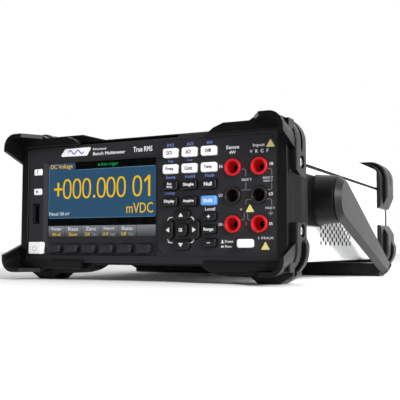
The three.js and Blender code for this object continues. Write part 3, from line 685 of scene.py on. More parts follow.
def make_display():
    left, right, low, high = (SCREEN[k] for k in ("left", "right", "low", "high"))
    front = SCREEN["front"]
    ink = front - PRINT
    above = ink - OVERLAP
    panel_low, panel_high, tab_right = -11.8, 24.8, -61
    menu_low, menu_high = low + 0.3, -17.6
    plate = rectangle(left - 2, right + 2, low - 3, high + 3)
    screen = rectangle(left + 0.05, right - 0.05, low + 0.05, high - 0.05)
    blue = rounded([
        (left + 0.3, panel_low, 1.5), (right - 0.3, panel_low, 1.5), (right - 0.3, panel_high, 1.5),
        (tab_right, panel_high), (tab_right, high - 0.3, 1.5), (left + 0.3, high - 0.3, 1.5),
    ], 0, 5)
    parts = [
        soften(prism("body", LCD_BLACK, plate, "y", 5.4, 9.4), 0.3),
        prism("face", LCD_BLACK, screen, "y", front, 5.4),
        patch(blue, LCD_BLUE, front),
        line([(left + 1, panel_low + 0.15), (right - 1, panel_low + 0.15)], LCD_EDGE, 0.3, ink),
        line([(tab_right + 1, panel_high - 0.1), (right - 1, panel_high - 0.1)], LCD_EDGE, 0.35, ink),
        patch(rectangle(left + 0.3, left + 0.6, panel_low + 2, high - 2), LCD_EDGE, ink),
    ]
    fields = [left + 0.4, -70.1, -54.3, -37.6, -21.7, -5.8, right - 0.2]
    for one, two in zip(fields, fields[1:]):
        parts.append(patch(rectangle(one + 0.15, two - 0.15, menu_low, menu_high, 0.3, 2), LCD_MENU, front))
    digit_low, digit_high = 2.9, 18.1
    for start in (-72.3, -63.2, -54.3, -41.0, -32.4, -23.4, -9.6):
        parts.append(ring_digit(start, start + 8.0, digit_low, digit_high, 1.35, ink))
    parts.append(patch(rectangle(-80.8, -72.9, 9.7, 11.3), LCD_AMBER, ink))
    parts.append(patch(rectangle(-77.7, -76.0, 5.2, 15.6), LCD_AMBER, above))
    parts.append(patch(circle(-43.3, 4.2, 1.1, 20), LCD_AMBER, ink))
    one_digit = [
        (3.6, digit_low), (5.3, digit_low), (5.3, digit_high), (3.9, digit_high), (0.4, 14.9),
        (0.4, 13.0), (3.6, 15.4),
    ]
    parts.append(patch(one_digit, LCD_AMBER, ink))
    parts.append(words("mVDC", LCD_AMBER, -14.7, 7.8, -9.0, -1.6, ink))
    parts.append(words("DC Voltage", LCD_AMBER, -84.2, -63.6, 25.4, 29.6, ink))
    parts.append(words("Auto trigger", LCD_GREEN, -37.6, -22.2, 26.2, 29.2, front))
    parts.append(patch(circle(-39.3, 27.7, 0.8, 16), LCD_GREEN, front))
    parts.append(words("Manual 100 mV", LCD_WHITE, -85.0, -66.0, -9.6, -7.0, ink))
    for (title, chosen, other), one, two in zip(MENU, fields, fields[1:]):
        middle = (one + two) / 2
        parts.append(words(title, LCD_WHITE, middle - 4.6, middle + 4.6, -21.3, -18.7, ink))
        spread = (-5.4, -0.8) if other else (-4.2, 4.2)
        parts.append(words(chosen, LCD_AMBER, middle + spread[0], middle + spread[1], -25.2, -22.8, ink))
        if other:
            parts.append(words(other, LCD_PALE, middle + 1.0, middle + 5.4, -25.2, -22.8, ink))
    place(merged("display_panel", [smooth(part) for part in parts]), "display_module")
    pane = rectangle(left + 0.15, right - 0.15, low + 0.15, high - 0.15, 0.3, 2)
    place(smooth(soften(prism("window_pane", GLASS, pane, "y", 2.02, 2.3), 0.05, 1)), "display_window")


def ring_digit(left, right, low, high, line_width, front):
    """A tall oval nought of even line width."""
    centre = Vector(((left + right) / 2, (low + high) / 2))
    across, up = (right - left) / 2, (high - low) / 2
    squared, count = 0.82, 40
    turns = [2 * math.pi * i / count for i in range(count)]
    maker = bmesh.new()
    rings = []
    for shrink, depth in ((0, 0), (line_width, 0), (line_width, -PRINT), (0, -PRINT)):
        ring = []
        for turn in turns:
            u = math.copysign(abs(math.cos(turn)) ** squared, math.cos(turn)) * (across - shrink)
            v = math.copysign(abs(math.sin(turn)) ** squared, math.sin(turn)) * (up - shrink)
            ring.append(maker.verts.new((centre.x + u, front + depth, centre.y + v)))
        rings.append(ring)
    for one, two in zip(rings, rings[1:] + rings[:1]):
        for i in range(count):
            j = (i + 1) % count
            maker.faces.new((one[i], one[j], two[j], two[i]))
    return link("digit", maker, LCD_AMBER)


def make_usb():
    first, last = reach("usb_socket")
    # The shell has the dark inlet plastic in place of bright plated metal: painted shade in the recessed
    # port.
    shell = prism("shell", INLET, around(first, last, 0, 0.4, 3), "y", 1.2, last.y)
    wall = 0.5
    carve(shell, [(around(first, last, -wall, 0.2, 2), "y", 0.5, last.y - 2)])
    soften(shell, 0.12, 2, 50)
    bar = rectangle(last.x - 2.6, last.x - 0.9, first.z + 1.4, last.z - 1.4)
    tongue = prism("tongue", BLACK, bar, "y", 2.6, 11)
    # A near-black liner at the back of the port: painted shade.
    liner = prism("liner", HOLE_SHADE, around(first, last, -wall), "y", 9, 11)
    pins = []
    for i in range(4):
        z = (first.z + last.z) / 2 + (i - 1.5) * 2.4
        pins.append((rectangle(last.x - 2.75, last.x - 2.6, z - 0.5, z + 0.5), "y", 3.2, 9))
    parts = [shell, soften(tongue, 0.15), liner, prisms("pins", BRASS, pins)]
    place(merged("usb_port", [smooth(part) for part in parts]), "usb_socket")


def make_jacks():
    outer, bore, contact, proud, floor, tail = JACK.values()
    lip = [(outer - 0.7 + 0.7 * math.cos(t), 0.7 - proud - 0.7 * math.sin(t)) for t in arc_steps(0, 90, 5)]
    inner = [(bore + 0.5 - 0.5 * math.cos(t), 0.5 - proud - 0.5 * math.sin(t)) for t in arc_steps(90, 0, 4)]
    shroud = [
        (outer, tail), *lip, *inner,
        (bore - 0.3, floor - 2.4), (contact + 0.5, floor), (contact, floor + 0.4), (contact, tail),
    ]
    # The cup closing the bore is near-black: painted shade at the bottom of the jack.
    barrel = [
        (contact - 0.3, floor + 0.6), (contact - 0.3, tail - 0.5), (0, tail - 0.5), (0, tail),
        (contact - 0.02, tail), (contact - 0.02, floor + 0.6),
    ]
    sleeve = [
        (contact - 0.32, floor + 5), (contact - 0.32, tail - 0.6), (contact - 0.7, tail - 0.6),
        (contact - 0.7, floor + 5),
    ]
    for name, (x, z) in jack_places().items():
        skin = BLACK if "middle" in name else RED
        centre = (x, 0, z)
        parts = [
            lathe("shroud", skin, shroud, "y", centre),
            lathe("barrel", HOLE_SHADE, barrel, "y", centre, 40),
            lathe("sleeve", BRASS, sleeve, "y", centre, 32),
        ]
        place(merged(name.replace("jack_", "terminal_"), [smooth(part, 40) for part in parts]), name)


def arc_steps(start, end, count):
    return [math.radians(start + (end - start) * i / count) for i in range(count + 1)]


KEY_WORDS = {
    "dc_volts_key": ["DCV"], "ac_volts_key": ["ACV"], "ohms_key": ["OHM"], "frequency_key": ["Freq"],
    "continuity_key": ["Cont"], "temperature_key": ["Temp"], "run_stop_key": ["Run", "Stop"],
    "single_key": ["Single"], "null_key": ["Null"], "display_key": ["Display"], "acquire_key": ["Acquire"],
    "shift_key": ["Shift"], "nav_ok_key": ["OK"], "range_up_key": ["+"], "range_auto_key": ["Range"],
    "range_down_key": ["-"],
}
KEY_ARROWS = {"nav_up_key": 90, "nav_down_key": 270, "nav_left_key": 180, "nav_right_key": 0}
KEY_SKINS = {"white_key": WHITE_KEY, "black_key": BLACK_KEY, "blue_key": BLUE_KEY, "soft_key": SOFT_KEY}
LETTER_WIDTH = 1.5
LETTER_HEIGHT = 2.7


def key_print(name, x, z, front):
    """The mark on a key's face: a word, an arrow or a sign."""
    ink = INK_BLACK if SLOT_OF[name] == "white_key" else INK_WHITE
    if name in KEY_ARROWS:
        turn = Matrix.Rotation(math.radians(KEY_ARROWS[name]), 2)
        corners = [turn @ Vector(p) for p in ((1.5, 0), (-1.3, 1.8), (-1.3, -1.8))]
        return [patch(rounded([(x + c.x, z + c.y) for c in corners], 0.15, 2), ink, front)]
    if name == "help_key":
        return [words("?", ink, x - 0.8, x + 0.8, z - 1.3, z + 1.3, front)]
    if name == "screenshot_key":
        return [patch(rounded([(x - 1, z - 1.2), (x + 1.1, z), (x - 1, z + 1.2)], 0.15, 2), ink, front)]
    if name == "power_button":
        arc = [Vector((x + 2 * math.sin(t), z - 0.3 + 2 * math.cos(t))) for t in arc_steps(35, 325, 22)]
        bar = patch(rectangle(x - 0.25, x + 0.25, z, z + 2.3), INK_PALE, front)
        return [line(arc, INK_PALE, 0.5, front), bar]
    lines = KEY_WORDS.get(name, [])
    prints = []
    for i, text in enumerate(lines):
        if text == "-":
            prints.append(patch(rectangle(x - 1.2, x + 1.2, z - 0.25, z + 0.25), ink, front))
            continue
        if text == "+":
            prints.append(patch(rectangle(x - 1.2, x + 1.2, z - 0.3, z + 0.3), ink, front))
            prints.append(patch(rectangle(x - 0.3, x + 0.3, z - 1.2, z + 1.2), ink, front - OVERLAP))
            continue
        tall = LETTER_HEIGHT if len(lines) == 1 else LETTER_HEIGHT * 0.72
        middle = z + (len(lines) - 1 - 2 * i) * 1.15
        half = min(len(text) * LETTER_WIDTH, 8.4) / 2 * (1 if len(lines) == 1 else 0.75)
        box = (x - half, x + half, middle - tall / 2, middle + tall / 2)
        prints.append(words(text, ink, *box, front, 0.03))
    return prints


def key_cap(name, first, last):
    """A moulded cap with a softly crowned face, standing on its stem."""
    at_side = first.x < SCREEN["left"] - 5
    radius = KEY_CORNER["nav" if name.startswith("nav") else "side" if at_side else "plain"]
    rim, dip, crown = KEY_RIM.values()
    front, back = first.y, last.y
    low = around(first, last, 0, radius)
    top = around(first, last, -rim, radius - rim * 0.6)
    levels = [(low, back), (low, front + rim * 1.2)]
    for turn in arc_steps(0, 90, 5)[1:]:
        ring = [a.lerp(b, 1 - math.cos(turn)) for a, b in zip(low, top)]
        levels.append((ring, front + dip + (rim * 1.2 - dip) * (1 - math.sin(turn))))
    middle = Vector(centre_of(first, last))
    levels.append(([p.lerp(middle, 0.45) for p in top], front + crown))
    cap = loft("cap", KEY_SKINS[SLOT_OF[name]], levels)
    prints = key_print(name, middle.x, middle.y, front + crown)
    return merged(name.replace("_key", "") + "_cap", [smooth(part, 50) for part in [cap] + prints])


def make_keys():
    for name, (first, last) in key_boxes().items():
        place(key_cap(name, first, last), name)


def make_panel_print():
    front = 0.0
    prints = []
    blue_labels = [
        ("DCI", 20.4, 25.7, 36.7, 38.9), ("ACI", 36.0, 41.2, 36.7, 38.9), ("4W", 51.4, 56.4, 36.7, 38.9),
        ("Per", 21.6, 25.8, 25.6, 27.5), ("Cap", 36.2, 40.8, 25.6, 27.5), ("Save", 19.6, 27.2, 14.1, 16.4),
        ("Hold", 34.8, 42.4, 14.1, 16.4), ("Math", 50.2, 57.4, 14.1, 16.4), ("Utility", 18.8, 27.2, 2.6, 5.0),
    ]
    white_labels = [
        ("Local", 50.4, 58.0, -8.8, -6.5), ("Sense", 66.2, 75.9, 32.2, 34.8), ("4W", 68.6, 73.4, 28.8, 31.1),
        ("Input", 85.8, 94.2, 32.2, 34.8), ("V  R  C  F", 83.4, 96.8, 28.6, 30.8),
        ("HI", 61.2, 63.6, 19.8, 21.8),
        ("HI", 97.6, 99.9, 19.9, 21.9), ("LO", 60.8, 63.8, 0.2, 2.3), ("LO", 97.0, 99.8, 0.1, 2.2),
        ("10A", 60.6, 64.2, -19.4, -17.4), ("3A", 97.0, 99.6, -19.3, -17.3),
        ("Front", 65.4, 71.4, -30.7, -28.9),
        ("Rear", 65.4, 71.0, -33.9, -32.3), ("True RMS", -7.7, 8.4, 34.8, 38.6),
        ("Digital", -43.1, -31.4, 38.0, 39.9), ("Bench Multimeter", -43.1, -14.6, 34.5, 37.0),
    ]
    small_labels = [
        ("MAX V", 77.6, 84.8, 10.2, 12.0), ("MAX V", 92.8, 99.8, 11.0, 12.6),
        ("MAX V", 93.2, 99.6, 9.0, 10.4), ("MAX V", 94.4, 101.0, -8.8, -7.3),
        ("V", 76.2, 78.0, -9.4, -7.9), ("I MAX", 89.4, 100.4, -28.5, -26.8),
    ]
    for labels, ink in ((blue_labels, INK_BLUE), (white_labels, INK_WHITE), (small_labels, INK_PALE)):
        prints += [words(text, ink, *spot, front, 0.02) for text, *spot in labels]
    centre = 80.6
    paths = [
        [(77.6, 18.2), (centre, 18.2), (centre, 13.4)], [(96.3, 17.8), (99.0, 17.8), (99.0, 13.4)],
        [(centre, 9.2), (centre, 4.2), (77.2, 4.2)], [(centre, 4.2), (84.6, 4.2)],
        [(99.0, 8.2), (99.0, 3.8), (95.8, 3.8)], [(85.0, -2.2), (80.6, -2.2), (80.6, -5.4)],
        [(95.2, -2.2), (98.9, -2.2), (98.9, -6.6)], [(79.4, -11.0), (79.4, -15.6), (76.8, -15.6)],
        [(81.8, -11.0), (81.8, -15.8), (84.4, -15.8)], [(98.2, -9.4), (98.2, -11.1)],
        [(80.7, -17.2), (80.7, -19.4)],
    ]
    prints += [line(path, INK_GREY, 0.42, front, 1.4) for path in paths]
    prints.append(patch([(96.2, -11.1), (100.2, -11.1), (98.2, -12.9)], INK_GREY, front))
    for x, z in ((98.2, 34.6), (83.5, -7.9), (94.4, -32.7)):
        triangle = rounded([(x - 3.1, z - 2.6), (x + 3.1, z - 2.6), (x, z + 2.8)], 0.35, 3)
        prints.append(patch(triangle, INK_YELLOW, front))
    nav_x, nav_z = centre_of(*reach("nav_ok_key"))
    for flip_x in (-1, 1):
        for flip_z in (-1, 1):
            path = [(10.6, 5.8), (9.4, 8.6), (6.2, 8.9)]
            path = [(nav_x - 1.6 + flip_x * u, nav_z + flip_z * v) for u, v in path]
            prints.append(line(path, INK_WHITE, 0.75, front, 1.6))
    marks = [
        [(63.0, -30.6), (64.0, -30.6), (64.0, -28.9), (63.0, -28.9)],
        [(62.4, -33.8), (64.4, -33.8), (64.4, -33.2), (63.4, -32.4), (62.4, -33.2)],
        [(62.2, -31.0), (64.8, -31.0), (64.8, -30.6), (62.2, -30.6)],
    ]
    prints += [patch(mark, INK_WHITE, front) for mark in marks]
    place(merged("panel_print", [smooth(part) for part in prints]), body=BODY_OF["front_bezel"], slot="bezel")


def make_badge():
    corners = [(-73.2, 35.0, 0.9), (-48.4, 34.7, 0.9), (-44.4, 41.0, 0.9), (-68.6, 40.9, 0.9)]
    plate = prism("plate", BADGE, rounded(corners, 0, 4), "y", -BADGE_PROUD, 0.02)
    soften(plate, 0.2, 2, 50)
    wave = [(-65.4 + i * 0.5, 37.9 + 1.35 * math.sin(i * math.pi / 7)) for i in range(29)]
    parts = [plate, line(wave, INK_NAVY, 0.8, -BADGE_PROUD)]
    place(merged("badge_plate", [smooth(part) for part in parts]), body=BODY_OF["front_bezel"], slot="bezel")


# ---------- bumpers ----------


def mirror_points(points):
    return [(-p[0], *p[1:]) for p in points]


def both_sides(points):
    return [points, mirror_points(points)]


def arc(centre, radius, start, end, steps=8):
    turns = arc_steps(start, end, steps)
    return [(centre[0] + radius * math.cos(t), centre[1] + radius * math.sin(t)) for t in turns]


def band_outline():
    half, top, low, corner, shoulder = (BAND[k] for k in ("half", "top", "low", "corner", "shoulder"))
    roof = BEZEL_HIGH.z + 1.5
    return [
        (-36, roof), (-57, shoulder), (-85, shoulder), (-92, top),
        *arc((corner - half, top - corner), corner, 90, 180),
        *arc((corner - half, low + corner), corner, 180, 270),
        *curve_between((-70, low), (-52, low), (-44, -roof), 6),
        *curve_between((44, -roof), (52, low), (70, low), 6),
        *arc((half - corner, low + corner), corner, 270, 360),
        *arc((half - corner, top - corner), corner, 0, 90),
        (92, top), (85, shoulder), (61, shoulder), (50, roof),
    ]


def make_hood(side, end):
    """One of the four corner hoods, a curved wall standing out in front of the panel."""
    half, tall, corner, wall, front = (HOOD[k] for k in ("half", "tall", "corner", "wall", "front"))
    back = BAND["front"] + 1
    root = BAND["corner"] - 1

    def tube(name, trim, reach_out):
        size = (trim - half, half - trim, trim - tall, tall - trim)
        levels = [(corner, front - reach_out), (root, back + reach_out)]
        return loft(name, RUBBER, [(rectangle(*size, bend - trim, 12), y) for bend, y in levels])

    shell = boolean(tube("hood", 0, 0), tube("inside", wall, 1), "DIFFERENCE")
    keep = [(84, 26), (84, 49.6), (90.5, tall + 1), (half + 1, tall + 1), (half + 1, 26)]
    keep = [(side * x, end * z) for x, z in keep]
    boolean(shell, prism("keep", RUBBER, keep, "y", front - 2, back + 2), "INTERSECT")
    along_top = [(98, front - 1), (97, front), (88, -3.7), (60, -3.7), (60, front - 1)]
    top_cut = [(side * x, y) for x, y in along_top]
    root_end = BAND["front"] + 3
    along_side = [(front - 1, 40.5), (front, 39.5), (root_end, 29.5), (root_end, 20), (front - 1, 20)]
    side_cut = [(y, end * z) for y, z in along_side]
    carve(shell, [(top_cut, "z", -tall - 2, tall + 2)])
    carve(shell, [(side_cut, "x", -half - 2, half + 2)])
    tidy(shell)
    return soften(shell, 1.0, 4, 40)


def ring_cutter():
    """The long groove round each corner of the front bumper, tapering to a point on the sides."""
    half, top, low, corner = BAND["half"], BAND["top"], BAND["low"], BAND["corner"]
    first, last, depth = GROOVE.values()
    outer = prism("cutter", RUBBER, rectangle(-half - 2, half + 2, low - 2, top + 2), "y", first, last)
    kept = rectangle(depth - half, half - depth, low + depth, top - depth, corner - depth, 12)
    carve(outer, [(kept, "y", first - 1, last + 1)])
    wide, point, middle = 34.5, 28.5, (first + last) / 2
    tip = [
        (first - 1, wide), (middle, point), (last + 1, wide),
        (last + 1, -wide), (middle, -point), (first - 1, -wide),
    ]
    carve(outer, [(tip, "x", -half - 4, half + 4)])
    return carve(outer, [(rectangle(-64, 64, low - 4, top + 4), "y", first - 1, last + 1)])


def corner_lobes(front, back):
    """The lower corners bulge out a little behind their groove."""
    half, inner, low, top, root = (LOBE[k] for k in ("half", "inner", "low", "top", "root"))
    outline = rectangle(-half, half, low, -low, BAND["corner"] + half - BAND["half"], 12)
    lobes = prism("lobes", RUBBER, outline, "y", front, back)
    flush = BAND["half"] - 0.1
    side, base = CASE_HIGH.x + 1.5, CASE_LOW.z - 1.5
    kept = [
        (-half - 1, low - 1), (-inner, low - 1), (-inner, base), (-side, base), (-side, root),
        (-flush, root), (-half - 1, top - 1),
    ]
    keep = prisms("keep", RUBBER, [(points, "y", front - 1, back + 1) for points in both_sides(kept)])
    return soften(boolean(lobes, keep, "INTERSECT"), 0.9, 3, 40)


def guard_and_hollow(side):
    """The raised guard beside the hub, and the hollow to cut in front of its scooped face."""
    scoop = [tuple(p) for p in curve_between((110.4, 3.6), (111.8, 10.4), (117.3, 15.5), 10)]
    ramp = [(106, 3.6), *scoop, (117.5, 16.5), (114.8, 24.8), (106, 24.8)]
    clear = 0.08
    outside = [*[(x + clear, y - clear) for x, y in scoop], (124, 15.4), (124, 3.2), (110.5, 3.2)]
    window = [(2, 18.6), (15.5, 12), (26, 11), (26, -17), (15.5, -17.5), (2, -18.2)]
    hollow_window = [(2, 18.2), (16, 11.4), (16, -17.1), (2, -17.8)]
    made = []
    for outline, opening, far in ((ramp, window, 125), (outside, hollow_window, 130)):
        piece = prism("guard", RUBBER, [(side * x, y) for x, y in outline], "z", -GUARD_HALF, GUARD_HALF)
        keep = prism("window", RUBBER, opening, "x", *sorted((side * 100, side * far)))
        made.append(boolean(piece, keep, "INTERSECT"))
    return soften(tidy(made[0]), 0.5, 3, 38), made[1]


def bumper_screws():
    """Each screw's name, side, seat, outer face and middle."""
    for name in [n for n in BODY_OF if n.startswith("bumper_screw")]:
        first, last = reach(name)
        side = 1 if first.x > 0 else -1
        seat, top = (first.x, last.x) if side > 0 else (last.x, first.x)
        yield name, side, seat, top, (first.y + last.y) / 2, (first.z + last.z) / 2


def make_front_bumper():
    front, back = BAND["front"], BAND["back"]
    band = soften(prism("band", RUBBER, band_outline(), "y", front, back), 1.1, 3, 40)
    pieces = [make_hood(side, end) for side in (-1, 1) for end in (-1, 1)]
    inner, low, high = 54, 43, 49.8
    end = HOOD["half"] - 1
    upper = [
        (inner, low), (end, low), (end, high), (inner + 11, high), (inner + 4, high - 2.6), (inner, low + 1),
    ]
    lower = [(inner - 4, -low), (inner, -high), (end, -high), (end, -low)]
    flange = rectangle(BEZEL_HIGH.x - 0.5, 110, -low - 1, low + 1)
    foot = [(85, FOOT_LOW), (100, FOOT_LOW), (110, FOOT_LOW + 6), (108, -40), (77, -40), (77, FOOT_LOW + 6)]
    strips = [
        ("strip", upper, -4, front + 1, 0.9), ("strip", lower, -4, front + 1, 0.9),
        ("flange", flange, -1, front + 1, 0.7), ("foot", foot, 10, 28, 1.2),
    ]
    for name, outline, start, stop, edge in strips:
        for points in both_sides(outline):
            pieces.append(soften(prism(name, RUBBER, points, "y", start, stop), edge, 3, 30))
    guards, hollows = zip(*[guard_and_hollow(side) for side in (-1, 1)])
    pieces.append(corner_lobes(LOBE_FRONT, back - 0.2))
    body = fuse(band, [*guards, *pieces])
    for hollow in hollows:
        boolean(body, hollow, "DIFFERENCE")
    carve(body, [(case_outline(CASE_GAP), "y", CASE_LOW.y - 1, CASE_ROOM_END)])
    carve(body, [(around(BEZEL_LOW, BEZEL_HIGH, CASE_GAP), "y", -0.3, CASE_LOW.y)])
    carve(body, [(rectangle(-49.5, 49.5, -60, 60), "y", -30, front - 0.6)])
    boolean(body, ring_cutter(), "DIFFERENCE")
    recesses = []
    for _, side, _, _, y, z in bumper_screws():
        recesses.append((circle(y, z, SCREW_RECESS, 32), "x", *sorted((side * SCREW_SEAT, side * 125))))
    carve(body, recesses)
    place(smooth(body, 36), "front_bumper")


def make_screws():
    domed = [(0, 0), (3.5, 0), (3.5, 0.9), (3.3, 1.35), (2.7, 1.8), (1.8, 2.1), (0.9, 2.2), (0, 2.2)]
    long, short = 1.9, 0.42
    for name, side, seat, top, y, z in bumper_screws():
        head = lathe("head", BRIGHT, [(r, side * along) for r, along in domed], "x", (seat, y, z), 40)
        ends = sorted((top + side, top - side * 1.2))
        for across, up in ((long, short), (short, long)):
            carve(head, [(rectangle(y - across, y + across, z - up, z + up, 0.2, 2), "x", *ends)])
        head.name = name.replace("bumper_screw", "bumper_bolt")
        place(smooth(head, 40), name)


def rear_outline():
    half, tall = REAR["half"], REAR["tall"]
    radius = 18
    return [
        *arc((radius - half, tall - radius), radius, 90, 180, 10),
        *arc((radius - half, radius - tall), radius, 180, 243, 7),
        (-100, FOOT_LOW), (-80, FOOT_LOW), (-72, -tall), (72, -tall), (80, FOOT_LOW), (100, FOOT_LOW),
        *arc((half - radius, radius - tall), radius, 297, 360, 7),
        *arc((half - radius, tall - radius), radius, 0, 90, 10),
    ]


def make_rear_bumper():
    front, step, rim, back = (REAR[k] for k in ("front", "step", "rim", "back"))
    half, tall = REAR["half"], REAR["tall"]
    body = soften(prism("body", RUBBER, rear_outline(), "y", step, back), 2.2, 4, 40)
    rim_outline = rectangle(4 - half, half - 4, 4 - tall, tall - 4, 14, 10)
    lip = prism("lip", RUBBER, rim_outline, "y", front, step + 3)
    fuse(body, [soften(lip, 1.0, 3, 40), corner_lobes(REAR_GROOVE["back"], back - 1)])
    carve(body, [(case_outline(CASE_GAP), "y", front - 1, rim)])
    mouth = rectangle(-101, 101, -38, 38, 6, 5)
    wide_mouth = rectangle(-103, 103, -40, 40, 8, 5)
    boolean(body, loft("mouth", RUBBER, [(mouth, rim - 1), (wide_mouth, back + 0.5)]), "DIFFERENCE")
    first, last, depth = REAR_GROOVE.values()
    middle = (first + last) / 2
    groove = prism("groove", RUBBER, rectangle(-half - 4, half + 4, -tall - 8, tall + 4), "y", first, last)
    kept = rectangle(depth - half, half - depth, -tall - 10, tall - depth, 15.4, 10)
    carve(groove, [(kept, "y", first - 1, last + 1)])
    point = [(first - 1, 36), (middle, 28), (last + 1, 36), (last + 1, -32), (middle, -24), (first - 1, -32)]
    carve(groove, [(point, "x", -half - 6, half + 6)])
    boolean(body, groove, "DIFFERENCE")
    inner, outer = CASE_HIGH.x + 0.2, LOBE["half"] + 2
    low, high, low_shoulder, high_shoulder, end = REAR_GAP.values()
    slope = outer - half
    gap = [
        (inner, low), (end, low), (half, low_shoulder), (outer, low_shoulder - slope),
        (outer, high_shoulder + slope), (half, high_shoulder), (end, high), (inner, high),
    ]
    carve(body, [(points, "y", front - 1, back + 1) for points in both_sides(gap)])
    place(smooth(body, 36), "rear_bumper")


# ---------- handle ----------


def inset(outline, distance):
    """A convex outline drawn in by a distance, point for point; the outline runs anticlockwise."""
    points = [Vector(p) for p in outline]
    result = []
    for i, point in enumerate(points):
        before = (point - points[i - 1]).normalized()
        after = (points[(i + 1) % len(points)] - point).normalized()
        left_before = Vector((-before.y, before.x))
        left_after = Vector((-after.y, after.x))
        bisector = (left_before + left_after).normalized()
        result.append(point + bisector * distance / max(0.2, bisector.dot(left_before)))
    return result


def tangent_angle(target, above):
    dy, dz = target[0] - PIVOT.y, target[1] - PIVOT.z
    spread = math.acos(ARM["radius"] / math.hypot(dy, dz))
    return math.degrees(math.atan2(dz, dy) + (spread if above else -spread))


def arm_outline():
    upper = tangent_angle(ARM_TIP, True)
    lower = tangent_angle(ARM_HEEL, False) + 360
    bend = arc((PIVOT.y, PIVOT.z), ARM["radius"], upper, lower, 40)
    ends = rounded([bend[-1], (*ARM_HEEL, 0.8), (*ARM_TIP, 0.8), bend[0]], 0, 4)
    return [*bend, *[tuple(p) for p in ends[1:-1]]]


def make_hub(side, name):
    """A cone on a flat pad that runs forward to the bumper's guard."""
    base, tip, start, end = HUB.values()
    front, top, low = HUB_PAD.values()
    profile = [
        (0, start - 1), (base + 0.1, start - 1), (base, start + 0.3), (tip + 0.25, end - 1.8),
        (tip - 0.1, end - 0.6), (tip - 0.8, end), (0, end),
    ]
    turned = [(r, side * along) for r, along in profile]
    cone = lathe("cone", HUB_PLASTIC, turned, "x", (0, PIVOT.y, PIVOT.z), 72)
    round_end = arc((PIVOT.y, (top + low) / 2), (top - low) / 2, -90, 90, 24)
    depth = sorted((side * (CASE_HIGH.x + 0.3), side * start))
    pad = prism("pad", HUB_PLASTIC, [(front, low), *round_end, (front, top)], "x", *depth)
    hub = fuse(soften(pad, 0.5, 2, 40), [cone])
    hub.name = "pivot_hub_" + name
    place(smooth(hub, 30), "hub_" + name)


def make_handle():
    outline = arm_outline()
    inner, outer, chamfer = ARM["inner"], ARM["outer"], ARM["chamfer"]
    for side, name in ((-1, "left"), (1, "right")):
        levels = [
            (inset(outline, 0.3), side * inner), (outline, side * (inner + 0.3)),
            (outline, side * (outer - chamfer)), (inset(outline, chamfer), side * outer),
        ]
        arm = loft("handle_side_" + name, HANDLE, levels, "x")
        place(smooth(soften(arm, 0.3, 3, 30), 40), "handle_arm_" + name)
        make_hub(side, name)
    first, last = reach("handle_grip")
    section = [
        (193, last.z), (first.y, first.z + 1.5), (first.y + 1.5, first.z), (last.y - 9, first.z),
        (last.y, first.z + 7.5), (last.y, last.z),
    ]
    grip = prism("handle_bar", HANDLE, rounded(section, 0.9, 4), "x", -inner, inner)
    place(smooth(soften(grip, 0.4, 2, 60), 30), "handle_grip")


# ---------- back ----------


def make_rear_panel():
    low, high = reach("rear_panel")
    size = (-high.x, high.x, -high.z, high.z)
    sheet = prism("rear_sheet", STEEL, rectangle(*size, 2, 4), "y", low.y, high.y)
    x, z = centre_of(*reach("power_inlet"))
    holes = [around(*reach(name), 0.3) for name in ("rear_terminal_block", "rear_port_block")]
    holes.append(rectangle(x - 13.8, x + 13.8, z - 10.3, z + 10.3, 1, 3))
    start, pitch, width, bottom, top, count = REAR_VENT.values()
    lefts = [start + i * pitch for i in range(count)]
    slots = [rectangle(left, left + width, bottom, top, 1.25, 5) for left in lefts]
    for outlines in (holes, slots):
        carve(sheet, [(outline, "y", low.y - 1, high.y + 1) for outline in outlines])
    place(smooth(soften(sheet, 0.25, 2, 50)), "rear_panel")


def make_inlet():
    low, high = reach("power_inlet")
    x, z = centre_of(low, high)
    face = high.y
    flange = rounded([
        (x - 24, z), (x - 14, low.z, 3), (x + 14, low.z, 3), (x + 24, z), (x + 14, high.z, 3),
        (x - 14, high.z, 3),
    ], 4, 6)
    body = soften(prism("flange", INLET, flange, "y", face - 2.7, face), 0.6, 3, 50)
    shell = rectangle(x - 13.5, x + 13.5, z - 10, z + 10, 1.5, 4)
    fuse(body, [prism("shell", INLET, shell, "y", low.y, face - 1)])
    mouth = rounded([
        (x - 12.3, z - 8.5, 1), (x + 12.3, z - 8.5, 1), (x + 12.3, z + 4, 1), (x + 8, z + 8.5, 1),
        (x - 8, z + 8.5, 1), (x - 12.3, z + 4, 1),
    ], 0, 4)
    carve(body, [(mouth, "y", face - 18, face + 2)])
    pins = []
    for dx, dz in ((-7, -2), (0, 2), (7, -2)):
        blade = rectangle(x + dx - 1, x + dx + 1, z + dz - 2, z + dz + 2, 0.4, 2)
        pins.append((blade, "y", low.y + 4, face - 6.5))
    cap = [(0, face - 0.2), (2.6, face - 0.2), (2.6, face + 0.1), (1.7, face + 0.7), (0, face + 0.9)]
    heads = [lathe("cap", STEEL, cap, "y", (x + side * 19, 0, z), 24) for side in (-1, 1)]
    parts = [body, soften(prisms("pins", BRASS, pins), 0.3, 2), *heads]
    place(merged("mains_inlet", [smooth(part) for part in parts]), "power_inlet")


